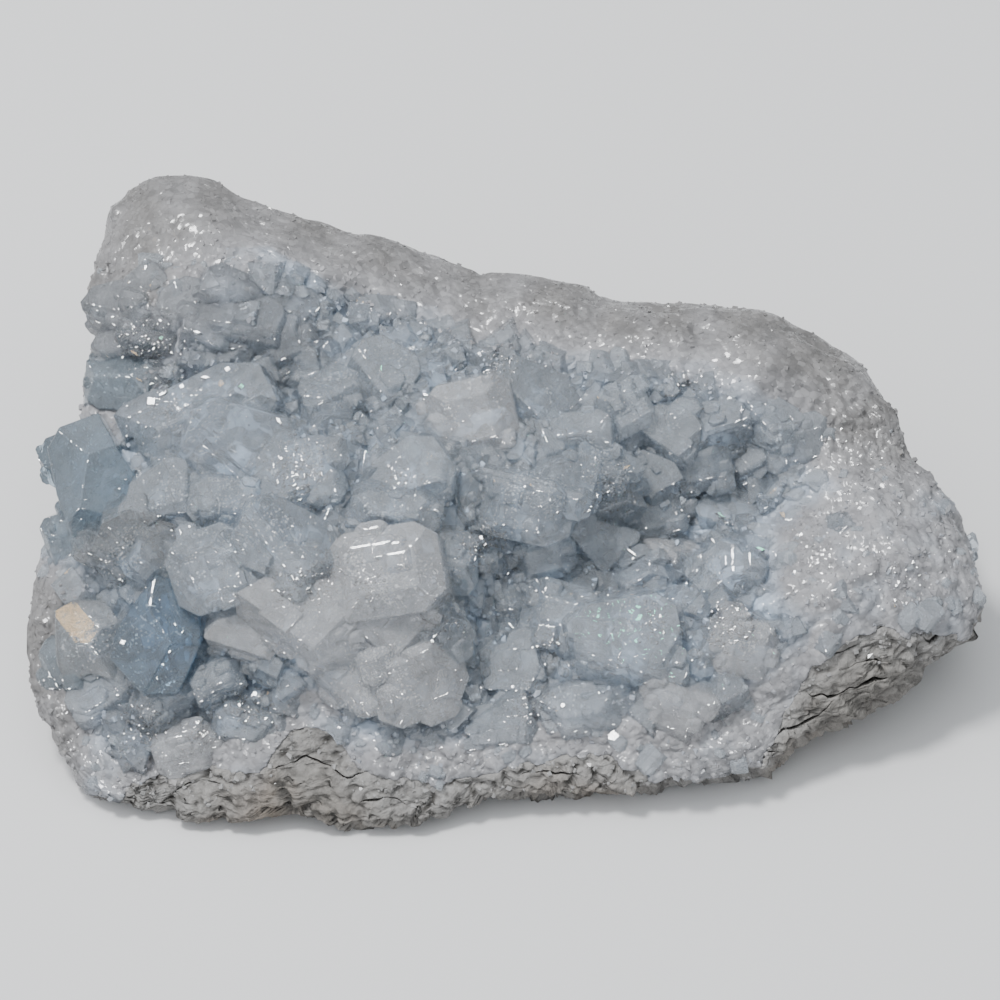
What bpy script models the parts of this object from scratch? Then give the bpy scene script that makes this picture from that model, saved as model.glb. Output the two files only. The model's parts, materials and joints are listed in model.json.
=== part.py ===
"""A celestite crystal cluster: blue-grey blocky crystals grown in the shallow hollow of a
geode wall, on the slab of pale limestone that the geode formed in.

The slab lies on a flat foot, and its crystal face leans back. The shape is described in the
frame of that face: a runs to the right, b up the face and d out of it, in millimetres.
"""

import math
import random

import bmesh
import bpy
import numpy as np
from mathutils import Euler, Matrix, Vector, noise

MM = 0.001

# Driving dimensions, in millimetres and degrees
FACE_LEAN = 45.0  # the face plane against the table
FACE_FALL = 0.30  # how much the face drops back for each millimetre up it
FACE_ABOVE_TABLE = 20.5  # height of the middle of the face
RIM_DROP = 4.0  # the widest line of the rock lies this far behind the face
RIM_ROUNDING = 0.3  # power of the curve that rounds the face over to the rim: 0 is square
BACK_DEPTH = 34.0  # the rough back, measured from the middle of the face
BACK_ROUNDING = 0.9
CRUST_THICKNESS = 9.0  # celestite on the limestone
CRUST_WEDGE = 0.9  # the crust thickens by this for each millimetre up from its lower edge
JOINT_GAP = 0.3  # between the limestone and the celestite
BUMPS = ((9.0, 1.1), (4.0, 0.5))  # roughness all over: size and height
LUMP_SIZE = 6.0  # the lumps of the face
LUMP_HEIGHT = 1.5
LEDGE_STEP = 7.0  # the layers of the limestone
LEDGE_HEIGHT = 0.9
BODY_DETAIL = 5  # icosphere subdivisions
FACES_KEPT = 0.43  # the share of its faces left, fewest where the surface is plain
SPLIT_STEP = 5.0  # spacing of the points of the surface between rock and celestite
SPLIT_REACH = (70.0, 55.0, 45.0)  # it runs this far out from the middle: a, b and d
TABLE_REACH = 80.0
SEED = 11

# The widest line of the rock, seen square to the face: (a, b)
OUTLINE = (
    (47.5, 0.0), (45.1, 3.1), (43.3, 4.7), (42.0, 8.5), (38.9, 13.4), (35.7, 16.1), (32.5, 17.7),
    (26.8, 19.7), (16.8, 20.4), (10.5, 21.1), (-2.1, 23.4), (-8.4, 26.2), (-14.7, 28.6),
    (-21.0, 30.6), (-27.3, 32.7), (-33.6, 35.0), (-36.8, 34.6), (-39.6, 33.0), (-41.5, 31.0),
    (-42.6, 26.0), (-44.0, 22.5), (-43.5, 18.4), (-43.6, 12.6), (-44.6, 7.0), (-45.4, 0.0),
    (-47.2, -4.2), (-49.0, -9.4), (-49.4, -15.8), (-48.8, -19.9), (-46.6, -23.7),
    (-44.2, -28.0), (-42.0, -30.2), (-34.6, -32.1), (-30.4, -33.0), (-21.0, -32.6),
    (-10.5, -33.4), (-5.2, -32.6), (-2.1, -30.9), (6.3, -30.0), (16.8, -29.2), (23.1, -28.9),
    (27.3, -28.0), (31.5, -24.7), (38.9, -21.1), (42.0, -19.6), (45.1, -16.8), (49.0, -14.0),
    (50.4, -10.5), (49.7, -7.3), (48.5, -3.1),
)

# Where the limestone shows in front below the celestite: the lowest b of the celestite at each a
CELESTITE_EDGE = (
    (-60.0, -46.0), (-45.0, -36.0), (-38.9, -30.8), (-29.4, -28.1), (-25.6, -27.6), (-20.6, -23.2),
    (-17.9, -23.6), (-15.4, -27.4), (-10.5, -28.9), (-6.0, -30.4), (-2.1, -28.4), (1.1, -27.0),
    (10.5, -26.8), (14.7, -27.8), (19.5, -30.6), (24.0, -31.0), (27.0, -27.6), (30.5, -21.0),
    (33.0, -16.0), (37.8, -13.9), (42.0, -13.3), (45.2, -14.4), (49.4, -13.1), (60.0, -12.0),
)

# Swells and hollows of the face: (a, b, height, reach along, reach across, turn in degrees)
SWELLS = (
    (-34.0, 24.0, 6.0, 11.0, 8.0, 0),  # the white knob at the upper left
    (-39.0, 20.5, 1.8, 3.6, 3.4, 0),
    (-31.0, 17.5, 1.6, 4.4, 3.4, 0),
    (-27.0, 22.5, 1.4, 4.0, 3.6, 0),
    (-41.5, 13.0, -5.5, 6.0, 4.0, 0),  # the notch under it
    (-23.0, 12.0, -2.6, 4.5, 3.0, -25),
    (-31.0, 0.0, 6.5, 14.0, 12.0, 0),  # the mound of large crystals
    (-14.0, -9.0, 5.5, 12.0, 9.0, 0),
    (-21.5, -20.5, -2.5, 5.5, 2.4, 0),
    (2.0, -15.5, -3.5, 3.6, 6.0, 20),
    (3.0, 4.0, 4.0, 11.0, 6.0, 8),  # the ledge above the hollow
    (-3.0, 12.0, 1.5, 8.0, 4.0, 0),
    (19.0, -2.5, -9.0, 16.0, 5.0, 24),  # the blue hollow
    (11.5, -14.5, 3.5, 9.0, 7.0, 0),  # the mound in it
    (38.0, -7.0, 6.0, 11.0, 8.0, 12),  # the white lump at the right
    (30.0, 13.0, 2.0, 12.0, 5.0, -15),
    (-38.0, -25.0, -2.5, 8.0, 5.0, 0),
)
BED_SINK = 2.4  # between the blue crystals the celestite lies this far below the face
SINK_FADE = 0.25  # over this share of the way in from the outline
BLUE_REACH = (0.9, 0.74)  # blue crystals grow out to this share of the way, at the left and elsewhere
BLUE_LEFT = -20.0  # the left begins here
WHITE_SPOTS = ((39.0, -6.0, 12.0, 10.0), (-34.0, 25.0, 11.0, 10.0))  # middle and reach: a and b

# Large crystals: (a, b, rise, wide, high, lean to the right, lean up, spin, form)
LARGE_CRYSTALS = (
    # the left edge
    (-42.0, 2.3, 4.6, 10.0, 13.5, -16, 6, 14, "block"),
    (-47.2, 3.8, 1.6, 4.6, 6.4, -34, 8, 20, "roof"),
    (-41.0, 13.2, 2.6, 8.0, 6.5, -24, 14, 0, "roof"),
    (-45.8, -4.8, 1.8, 5.4, 6.4, -30, -6, 16, "block"),
    (-37.6, -5.8, 3.0, 9.0, 8.0, 8, -14, -20, "wedge"),
    (-42.6, -14.0, 2.6, 8.6, 8.6, -14, -8, 38, "wedge"),
    (-35.4, -13.6, 4.4, 8.4, 12.0, 12, -10, -18, "roof"),
    (-45.6, -17.5, 1.2, 5.4, 6.2, -26, -14, 10, "block"),
    (-41.0, -21.4, 1.6, 7.4, 6.2, -12, -22, 30, "roof"),
    (-35.6, -22.6, 1.6, 6.6, 6.0, 10, -24, -20, "wedge"),
    (-28.8, -19.2, 2.4, 5.6, 5.0, 10, -20, 24, "roof"),
    (-32.4, -27.0, 1.2, 7.0, 5.0, -6, -30, 12, "block"),
    (-27.0, -24.6, 1.2, 6.0, 4.6, 8, -26, -14, "roof"),
    # the mound of large crystals
    (-31.5, 9.2, 4.4, 15.5, 9.0, -8, 14, 26, "roof"),
    (-26.8, 4.6, 4.8, 12.0, 9.6, 10, -8, -16, "wedge"),
    (-20.4, 2.6, 3.6, 9.4, 8.0, 12, 8, 12, "block"),
    (-34.6, 0.0, 3.4, 7.8, 6.8, -12, -10, 34, "wedge"),
    (-28.2, -1.0, 3.0, 8.0, 6.0, 6, -16, -8, "roof"),
    (-30.0, -7.0, 4.2, 9.0, 8.6, -10, 6, 20, "block"),
    (-21.4, -5.0, 4.6, 11.6, 9.4, 8, 10, -26, "wedge"),
    (-12.2, -7.2, 4.6, 12.4, 9.4, -6, 8, 10, "block"),
    (-21.0, -12.6, 4.0, 13.0, 8.4, -8, -14, -6, "wedge"),
    (-5.8, -12.8, 4.6, 5.4, 8.0, 20, 4, 36, "roof"),
    (-4.6, -6.0, 3.0, 5.6, 7.4, 18, 8, 4, "wedge"),
    (-8.0, -18.4, 3.8, 10.4, 8.8, 14, -12, 22, "block"),
    (-15.8, -18.6, 3.2, 9.4, 7.2, -8, -20, -18, "wedge"),
    # above the mound and along the ledge
    (-17.0, 11.6, 1.8, 7.4, 7.2, 10, 12, 24, "roof"),
    (-12.6, 13.4, 1.8, 7.2, 7.6, -8, 6, -30, "wedge"),
    (-9.4, 2.6, 3.0, 8.6, 8.0, -6, 12, 38, "wedge"),
    (-10.8, -1.8, 3.2, 9.4, 4.4, 0, -18, -6, "roof"),
    (-3.2, 8.4, 2.4, 9.4, 8.2, -10, -6, 12, "block"),
    (3.6, 10.4, 2.4, 9.4, 8.2, 8, 8, -20, "wedge"),
    (2.2, -1.2, 4.4, 10.4, 7.0, -8, -14, -12, "block"),
    (7.6, 0.8, 4.2, 8.4, 6.2, 10, -20, 16, "wedge"),
    (10.8, 3.0, 3.4, 6.4, 5.6, 16, -6, -24, "roof"),
    (7.8, 6.8, 2.2, 7.4, 5.6, -12, 10, 6, "roof"),
    (13.0, 9.6, 2.2, 6.0, 5.6, 6, 6, 28, "block"),
    (17.4, 6.6, 2.0, 6.8, 6.2, -10, -12, -12, "wedge"),
    (23.6, 7.4, 2.4, 6.6, 6.4, 12, -10, 18, "roof"),
    (28.4, 8.6, 1.8, 5.6, 5.6, -10, 8, -30, "wedge"),
    (32.0, 5.8, 1.4, 7.6, 6.4, 14, -8, 12, "block"),
    # the hollow and its floor
    (6.2, -8.2, 1.8, 8.0, 6.6, 12, 14, 30, "wedge"),
    (6.0, -12.4, 3.0, 8.6, 8.4, -12, 6, -14, "block"),
    (13.4, -15.0, 3.6, 11.4, 9.4, 6, -6, 8, "wedge"),
    (17.4, -5.4, 1.4, 7.4, 6.4, -8, 14, -24, "roof"),
    (25.0, -1.4, 1.2, 8.0, 6.0, 10, 6, 16, "wedge"),
    (23.4, -8.4, 2.2, 6.2, 7.4, -16, 4, 40, "roof"),
    (25.4, -15.6, 1.6, 7.2, 6.2, 8, -12, -10, "block"),
    (1.0, -18.6, 1.6, 6.6, 7.2, -14, -6, 18, "wedge"),
    (1.8, -11.8, 1.4, 5.8, 5.4, 12, 4, -30, "roof"),
    (8.4, -22.6, 1.4, 8.0, 6.2, -6, -20, 10, "roof"),
    (17.6, -22.4, 1.4, 7.8, 6.2, 8, -18, -22, "block"),
    (0.5, -24.4, 1.2, 6.6, 5.4, -8, -22, 26, "wedge"),
)
CRYSTAL_ROOT = 7.0  # how deep a crystal runs on below the face

# Small crystals fill in between: (count, smallest, largest, closest spacing)
BLUE_SMALL = (48, 3.6, 5.6, 3.8)
WHITE_SMALL = (40, 3.0, 4.8, 4.2)
SMALL_RISE = (0.14, 0.08)  # share of its size that a small crystal stands up: blue, white
SMALL_LEAN = 30.0  # either way
RIM_LEAN = (0.7, 62.0)  # past this share of the way out they lean outward, up to this angle
FARTHEST_SMALL = 0.92  # share of the way out to the outline
THINNEST_UNDER = 1.6  # they need this much celestite to grow from
LARGE_CLEARANCE = 0.42  # a small crystal's middle stays this share of the width off a large one
TRIES = 60


def outline_radius(angle):
    """Distance from the middle of the face to the outline, in the direction of angle."""
    angles = [math.atan2(b, a) for a, b in OUTLINE]
    reaches = [math.hypot(a, b) for a, b in OUTLINE]
    return float(np.interp(angle, angles, reaches, period=2 * math.pi))


def edge_share(a, b):
    """How far out (a, b) lies: 0 in the middle of the face, 1 on the outline."""
    return min(1.0, math.hypot(a, b) / outline_radius(math.atan2(b, a)))


def rim_depth(b):
    return -FACE_FALL * b - RIM_DROP


def face_depth(a, b):
    """The hollowed face, before it rounds over at the rim."""
    depth = -FACE_FALL * b
    for at_a, at_b, height, along, across, turn in SWELLS:
        c, s = math.cos(math.radians(turn)), math.sin(math.radians(turn))
        u = ((a - at_a) * c + (b - at_b) * s) / along
        v = ((b - at_b) * c - (a - at_a) * s) / across
        depth += height * math.exp(-(u * u + v * v) / 2)
    return depth


def surface_depth(a, b):
    """The front surface over the point (a, b), without its crystals."""
    rim = rim_depth(b)
    return rim + (face_depth(a, b) - rim) * (1 - edge_share(a, b) ** 2) ** RIM_ROUNDING


def crust_thickness(a, b):
    """Celestite thins out to nothing along CELESTITE_EDGE; below that it would be negative."""
    edge_a, edge_b = zip(*CELESTITE_EDGE)
    above_edge = b - float(np.interp(a, edge_a, edge_b))
    return max(-CRUST_THICKNESS, min(CRUST_THICKNESS, CRUST_WEDGE * above_edge))


def is_blue(a, b):
    """True where the face carries blue crystals, and not the sugary white rim."""
    reach = BLUE_REACH[0] if a < BLUE_LEFT else BLUE_REACH[1]
    white = any(
        math.hypot((a - at_a) / reach_a, (b - at_b) / reach_b) < 1
        for at_a, at_b, reach_a, reach_b in WHITE_SPOTS
    )
    return edge_share(a, b) < reach and not white


def bed_depth(a, b):
    """The front surface again, lumpy, and sunk where blue crystals cover it."""
    share = edge_share(a, b)
    depth = surface_depth(a, b)
    depth += LUMP_HEIGHT * 2 * noise.noise(Vector((a, b, 0)) / LUMP_SIZE) * (1 - share**2)
    if is_blue(a, b):
        cover = max(0.0, crust_thickness(a, b) / CRUST_THICKNESS)
        depth -= BED_SINK * cover * min(1.0, (1 - share) / SINK_FADE)
    return depth


def back_depth(a, b):
    """The rough outside of the geode, fuller at the left than at the right."""
    return -BACK_DEPTH + 3.0 * math.cos(a / 14) - 0.06 * a - 0.12 * b


def face_to_world():
    """The matrix that turns face millimetres (a, b, d) into metres over the table."""
    lean = Matrix.Rotation(math.radians(FACE_LEAN), 4, "X")
    return Matrix.Translation((0, 0, FACE_ABOVE_TABLE * MM)) @ lean @ Matrix.Scale(MM, 4)


def rough_vector(point):
    """A smooth random offset, up to about 1 each way."""
    return Vector([noise.noise(point + Vector((31.7 * i, 0, 0))) for i in range(3)])


def body_point(direction):
    """Where a direction from the middle of the rock meets its surface, in face millimetres."""
    reach = outline_radius(math.atan2(direction.y, direction.x))
    a, b, lift = direction.x * reach, direction.y * reach, direction.z
    if lift >= 0:
        d = bed_depth(a, b)
    else:
        rim = rim_depth(b)
        d = rim + (back_depth(a, b) - rim) * (-lift) ** BACK_ROUNDING
    point = Vector((a, b, d))
    wave = 2 * math.pi * d / LEDGE_STEP + 2 * noise.noise(point / 12)
    on_side = max(0.0, 0.6 - lift) * math.hypot(direction.x, direction.y)
    ledge = Vector((a, b, 0)).normalized() * LEDGE_HEIGHT * math.sin(wave) * on_side
    for size, height in BUMPS:
        ledge += rough_vector(point / size) * height
    return point + ledge


def new_object(name, mesh, collection, material=None):
    obj = bpy.data.objects.new(name, mesh)
    collection.objects.link(obj)
    if material:
        mesh.materials.append(material)
    else:
        obj.hide_render = True
        obj.display_type = "WIRE"
    return obj


def mesh_from(bm, name, matrix):
    """Turns the bmesh into mesh data, with its normals out, and frees it."""
    bmesh.ops.recalc_face_normals(bm, faces=bm.faces)
    bm.transform(matrix)
    mesh = bpy.data.meshes.new(name)
    bm.to_mesh(mesh)
    bm.free()
    return mesh


def cut_away(bm, point, normal):
    """Slices a closed bmesh by a plane, removes what lies beyond and closes the cut."""
    geometry = bm.verts[:] + bm.edges[:] + bm.faces[:]
    cut = bmesh.ops.bisect_plane(
        bm, geom=geometry, plane_co=point, plane_no=normal, clear_outer=True
    )
    edges = [e for e in cut["geom_cut"] if isinstance(e, bmesh.types.BMEdge)]
    if edges:
        bmesh.ops.contextual_create(bm, geom=edges)


def rock_mesh(name):
    """The whole specimen without its crystals: a shaped icosphere."""
    bm = bmesh.new()
    bmesh.ops.create_icosphere(bm, subdivisions=BODY_DETAIL, radius=1)
    for vert in bm.verts:
        vert.co = body_point(vert.co.normalized())
    return mesh_from(bm, name, face_to_world())


def block_under_table(name):
    """A block whose top is the table: what it cuts off leaves the flat foot."""
    bm = bmesh.new()
    bmesh.ops.create_cube(bm, size=2 * TABLE_REACH)
    bmesh.ops.translate(bm, vec=(0, 0, -TABLE_REACH), verts=bm.verts)
    return mesh_from(bm, name, Matrix.Scale(MM, 4))


def block_above_split(name, raise_by):
    """A block whose underside is the surface between limestone and celestite."""
    half_a, half_b, top = SPLIT_REACH
    bm = bmesh.new()
    bmesh.ops.create_grid(
        bm,
        x_segments=int(2 * half_a / SPLIT_STEP),
        y_segments=int(2 * half_b / SPLIT_STEP),
        size=1,
    )
    for vert in bm.verts:
        a, b = vert.co.x * half_a, vert.co.y * half_b
        vert.co = (a, b, surface_depth(a, b) - crust_thickness(a, b) + raise_by)
    bmesh.ops.triangulate(bm, faces=bm.faces, quad_method="FIXED")
    rim_edges = [e for e in bm.edges if e.is_boundary]
    walls = bmesh.ops.extrude_edge_only(bm, edges=rim_edges)["geom"]
    for item in walls:
        if isinstance(item, bmesh.types.BMVert):
            item.co.z = top
    lid = [e for e in walls if isinstance(e, bmesh.types.BMEdge) and e.is_boundary]
    bmesh.ops.contextual_create(bm, geom=lid)
    return mesh_from(bm, name, face_to_world())


def crystal_mesh(name, wide, high, tall, form, chance, place):
    """One celestite crystal: a block with bevelled edges under a domed, gabled or slanting top.

    It stands on its tall axis, its crown at zero and its root below.
    """
    bm = bmesh.new()
    bmesh.ops.create_cube(bm, size=1)
    bmesh.ops.scale(bm, vec=(wide, high, tall), verts=bm.verts)
    bmesh.ops.translate(bm, vec=(0, 0, -tall / 2), verts=bm.verts)

    def slope(toward_a, toward_b, steep, start):
        """Cuts the crown by a plane that falls off toward a side.

        steep is the fall in degrees, start the share of the half width that stays level.
        """
        across = Vector((toward_a * wide, toward_b * high, 0))
        fall = math.radians(steep)
        normal = across.normalized() * math.sin(fall) + Vector((0, 0, math.cos(fall)))
        cut_away(bm, across / 2 * start, normal)

    vary = chance.uniform
    if form == "block":
        for toward in ((1, 0), (-1, 0), (0, 1), (0, -1)):
            slope(*toward, vary(24, 40), vary(0.35, 0.6))
    elif form == "roof":
        for toward in ((0, 1), (0, -1)):
            slope(*toward, vary(26, 38), vary(0.0, 0.15))
        for toward in ((1, 0.2), (-1, -0.2)):
            slope(*toward, vary(28, 42), vary(0.4, 0.6))
    elif form == "wedge":
        slope(0.35, 1, vary(18, 26), vary(-0.3, 0.0))
        slope(-0.4, -1, vary(38, 50), vary(0.2, 0.45))
        slope(1, -0.3, vary(34, 46), vary(0.4, 0.65))
    else:
        slope(0.3, 1, vary(25, 40), vary(-0.2, 0.3))
        slope(-1, -0.4, vary(25, 40), vary(0.0, 0.4))
        slope(0.8, -0.6, vary(30, 45), vary(0.1, 0.4))
    if form != "shard":
        for side_a, side_b in ((1, 1), (1, -1), (-1, 1), (-1, -1)):
            corner = Vector((side_a * high, side_b * wide, 0)).normalized()
            reach = abs(corner.x) * wide / 2 + abs(corner.y) * high / 2
            cut_away(bm, corner * reach * vary(0.74, 0.86), corner)
    return mesh_from(bm, name, place)


def crystal_place(a, b, depth, lean_right, lean_up, spin):
    """The matrix that stands a crystal's crown at a depth of the face."""
    turn = Euler(
        (math.radians(-lean_up), math.radians(lean_right), math.radians(spin)), "XYZ"
    )
    return face_to_world() @ Matrix.Translation((a, b, depth)) @ turn.to_matrix().to_4x4()


def add_large_crystals(collection, chance):
    for index, crystal in enumerate(LARGE_CRYSTALS):
        a, b, rise, wide, high, lean_right, lean_up, spin, form = crystal
        place = crystal_place(a, b, surface_depth(a, b) + rise, lean_right, lean_up, spin)
        name = f"large_{index}"
        mesh = crystal_mesh(name, wide, high, rise + CRYSTAL_ROOT, form, chance, place)
        new_object(name, mesh, collection)


def clear_of_large(a, b):
    return all(
        math.hypot(a - c[0], b - c[1]) > LARGE_CLEARANCE * max(c[3], c[4])
        for c in LARGE_CRYSTALS
    )


def add_small_crystals(collection, chance, wanted, blue, taken):
    """Scatters small crystals over the blue or over the white part of the face."""
    count, smallest, largest, spacing = wanted
    wanted_in_all = len(taken) + count
    for _ in range(count * TRIES):
        if len(taken) == wanted_in_all:
            break
        angle = chance.uniform(-math.pi, math.pi)
        share = math.sqrt(chance.random()) * FARTHEST_SMALL
        reach = outline_radius(angle) * share
        a, b = reach * math.cos(angle), reach * math.sin(angle)
        near = any(math.hypot(a - x, b - y) < spacing for x, y in taken)
        bare = crust_thickness(a, b) < THINNEST_UNDER
        if near or bare or is_blue(a, b) != blue or not clear_of_large(a, b):
            continue
        size = chance.uniform(smallest, largest)
        outward = RIM_LEAN[1] * max(0.0, share - RIM_LEAN[0]) / (1 - RIM_LEAN[0])
        lean_right = chance.uniform(-SMALL_LEAN, SMALL_LEAN) + outward * math.cos(angle)
        lean_up = chance.uniform(-SMALL_LEAN, SMALL_LEAN) + outward * math.sin(angle)
        depth = surface_depth(a, b) + size * (SMALL_RISE[0] if blue else SMALL_RISE[1])
        place = crystal_place(a, b, depth, lean_right, lean_up, chance.uniform(0, 180))
        name = f"small_{len(taken)}"
        high = size * chance.uniform(0.75, 0.95)
        mesh = crystal_mesh(name, size, high, size * 1.1, "shard", chance, place)
        new_object(name, mesh, collection)
        taken.append((a, b))


def add_thinning(obj):
    """Drops faces where the surface is plain."""
    thinning = obj.modifiers.new("Thinning", "DECIMATE")
    thinning.ratio = FACES_KEPT


def add_boolean(obj, operation, other):
    """A Boolean with another object, or with all the objects of a collection."""
    boolean = obj.modifiers.new(operation.title(), "BOOLEAN")
    boolean.operation = operation
    boolean.solver = "EXACT"
    if isinstance(other, bpy.types.Collection):
        boolean.operand_type = "COLLECTION"
        boolean.collection = other
    else:
        boolean.object = other


def connected_parts(bm):
    """The faces of a bmesh, as one set for each connected surface."""
    left, parts = set(bm.faces), []
    while left:
        part, growing = set(), [left.pop()]
        while growing:
            face = growing.pop()
            part.add(face)
            around = {f for e in face.edges for f in e.link_faces} & left
            left -= around
            growing.extend(around)
        parts.append(part)
    return parts


def make_solid(obj, material):
    """Applies the modifiers and fills the pockets that the crystals closed in."""
    graph = bpy.context.evaluated_depsgraph_get()
    mesh = bpy.data.meshes.new_from_object(obj.evaluated_get(graph))
    bm = bmesh.new()
    bm.from_mesh(mesh)
    parts = sorted(connected_parts(bm), key=len)
    pockets = [face for part in parts[:-1] for face in part]
    bmesh.ops.delete(bm, geom=pockets, context="FACES")
    bm.to_mesh(mesh)
    bm.free()
    obj.modifiers.clear()
    obj.data = mesh
    mesh.materials.clear()
    mesh.materials.append(material)


def centre_over_origin(objects):
    """Moves the meshes together so that the middle of their common box is over the origin."""
    corners = [vert.co for obj in objects for vert in obj.data.vertices]
    middle = [(min(c[i] for c in corners) + max(c[i] for c in corners)) / 2 for i in (0, 1)]
    for obj in objects:
        obj.data.transform(Matrix.Translation((-middle[0], -middle[1], 0)))


def material(name, colour, roughness, transmission=0.0):
    made = bpy.data.materials.new(name)
    made.use_nodes = True
    shader = made.node_tree.nodes["Principled BSDF"]
    shader.inputs["Base Color"].default_value = (*colour, 1)
    shader.inputs["Roughness"].default_value = roughness
    shader.inputs["Metallic"].default_value = 0
    shader.inputs["Transmission Weight"].default_value = transmission
    shader.inputs["IOR"].default_value = 1.62
    return made


def new_collection(name, helper=False):
    made = bpy.data.collections.new(name)
    bpy.context.scene.collection.children.link(made)
    made.hide_render = helper
    return made


def main():
    for obj in list(bpy.data.objects):
        bpy.data.objects.remove(obj)
    chance = random.Random(SEED)
    parts = new_collection("celestite_crystal_cluster")
    crystals = new_collection("crystals", helper=True)
    cutters = new_collection("cutters", helper=True)

    add_large_crystals(crystals, chance)
    taken = []
    add_small_crystals(crystals, chance, BLUE_SMALL, True, taken)
    add_small_crystals(crystals, chance, WHITE_SMALL, False, taken)
    above = new_object("above_split", block_above_split("above_split", 0), cutters)
    raised = new_object("above_gap", block_above_split("above_gap", JOINT_GAP), cutters)
    table = new_object("under_table", block_under_table("under_table"), cutters)

    limestone = material("limestone", (0.50, 0.47, 0.43), 0.9)
    celestite = material("celestite", (0.62, 0.70, 0.77), 0.12, transmission=0.5)
    rock = new_object("limestone_matrix", rock_mesh("limestone_matrix"), parts, limestone)
    add_thinning(rock)
    add_boolean(rock, "DIFFERENCE", above)
    add_boolean(rock, "DIFFERENCE", table)
    crust_mesh = rock_mesh("celestite_crystals")
    crust = new_object("celestite_crystals", crust_mesh, parts, celestite)
    add_thinning(crust)
    add_boolean(crust, "UNION", crystals)
    add_boolean(crust, "INTERSECT", raised)
    add_boolean(crust, "DIFFERENCE", table)
    bpy.context.view_layer.update()
    make_solid(rock, limestone)
    make_solid(crust, celestite)
    centre_over_origin([rock, crust])


main()
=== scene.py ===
"""Celestite crystal cluster: milky blue-grey crystals and a sugary white rim on pale limestone.

Lengths of the geometry are in millimetres in the frame of the crystal face (a to the right, b up
the face, d out of it) until face_to_world turns them into metres over the floor.
"""

import json
import math
import random

import bmesh
import bpy
import numpy as np
from mathutils import Euler, Matrix, Vector, noise
from mathutils.bvhtree import BVHTree

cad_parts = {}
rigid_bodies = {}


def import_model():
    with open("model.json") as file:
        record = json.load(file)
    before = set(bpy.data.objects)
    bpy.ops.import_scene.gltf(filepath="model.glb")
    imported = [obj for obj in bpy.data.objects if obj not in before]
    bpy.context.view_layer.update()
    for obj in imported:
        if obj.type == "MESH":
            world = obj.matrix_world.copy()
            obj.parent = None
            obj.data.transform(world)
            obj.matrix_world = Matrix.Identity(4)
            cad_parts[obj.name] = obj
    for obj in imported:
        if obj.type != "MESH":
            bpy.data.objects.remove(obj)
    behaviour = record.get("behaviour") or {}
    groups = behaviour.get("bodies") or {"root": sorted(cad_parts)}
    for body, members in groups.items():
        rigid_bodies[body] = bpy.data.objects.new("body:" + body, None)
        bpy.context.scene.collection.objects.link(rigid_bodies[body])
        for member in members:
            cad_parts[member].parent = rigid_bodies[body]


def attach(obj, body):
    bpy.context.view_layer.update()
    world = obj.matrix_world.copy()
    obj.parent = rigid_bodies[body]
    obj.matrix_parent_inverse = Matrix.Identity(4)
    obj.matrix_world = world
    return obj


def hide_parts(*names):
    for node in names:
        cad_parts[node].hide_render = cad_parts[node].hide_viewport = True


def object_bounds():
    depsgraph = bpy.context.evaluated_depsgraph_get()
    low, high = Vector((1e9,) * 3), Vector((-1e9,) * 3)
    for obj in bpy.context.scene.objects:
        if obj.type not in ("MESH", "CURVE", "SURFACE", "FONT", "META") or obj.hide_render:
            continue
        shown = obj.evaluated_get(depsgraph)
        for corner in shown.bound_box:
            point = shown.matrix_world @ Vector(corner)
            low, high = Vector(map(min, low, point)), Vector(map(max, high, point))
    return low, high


MM = 0.001

# The body, as in the solids
FACE_MIDDLE = Vector((-0.681, -5.522, 20.5))  # where the middle of the face is, over the floor
FACE_LEAN = 45.0  # the face plane against the table
FACE_FALL = 0.30  # how much the face drops back for each millimetre up it
RIM_DROP = 4.0  # the widest line of the rock lies this far behind the face
RIM_ROUNDING = 0.3  # power of the curve that rounds the face over to the rim: 0 is square
BACK_DEPTH = 34.0
BACK_ROUNDING = 0.9
BACK_SWELL = (3.0, 14.0)  # height, and reach along a
BACK_SLOPE = (0.06, 0.12)  # how much the back drops for each millimetre along a and b
CRUST_THICKNESS = 9.0  # celestite on the limestone
CRUST_WEDGE = 0.9  # the crust thickens by this for each millimetre up from its lower edge
BUMPS = ((9.0, 1.1), (4.0, 0.5))  # roughness all over: size and height
LUMP_SIZE = 6.0  # the lumps of the face
LUMP_HEIGHT = 1.5
LEDGE_STEP = 7.0  # the layers of the limestone
LEDGE_HEIGHT = 0.9
LEDGE_WANDER = (2.0, 12.0)  # radians and size
SIDES_START = 0.6  # a direction that points out of the face less than this is on the sides

# The widest line of the rock, seen square to the face: (a, b)
OUTLINE = (
    (47.5, 0.0), (45.1, 3.1), (43.3, 4.7), (42.0, 8.5), (38.9, 13.4), (35.7, 16.1), (32.5, 17.7),
    (26.8, 19.7), (16.8, 20.4), (10.5, 21.1), (-2.1, 23.4), (-8.4, 26.2), (-14.7, 28.6),
    (-21.0, 30.6), (-27.3, 32.7), (-33.6, 35.0), (-36.8, 34.6), (-39.6, 33.0), (-41.5, 31.0),
    (-42.6, 26.0), (-44.0, 22.5), (-43.5, 18.4), (-43.6, 12.6), (-44.6, 7.0), (-45.4, 0.0),
    (-47.2, -4.2), (-49.0, -9.4), (-49.4, -15.8), (-48.8, -19.9), (-46.6, -23.7),
    (-44.2, -28.0), (-42.0, -30.2), (-34.6, -32.1), (-30.4, -33.0), (-21.0, -32.6),
    (-10.5, -33.4), (-5.2, -32.6), (-2.1, -30.9), (6.3, -30.0), (16.8, -29.2), (23.1, -28.9),
    (27.3, -28.0), (31.5, -24.7), (38.9, -21.1), (42.0, -19.6), (45.1, -16.8), (49.0, -14.0),
    (50.4, -10.5), (49.7, -7.3), (48.5, -3.1),
)

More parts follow.
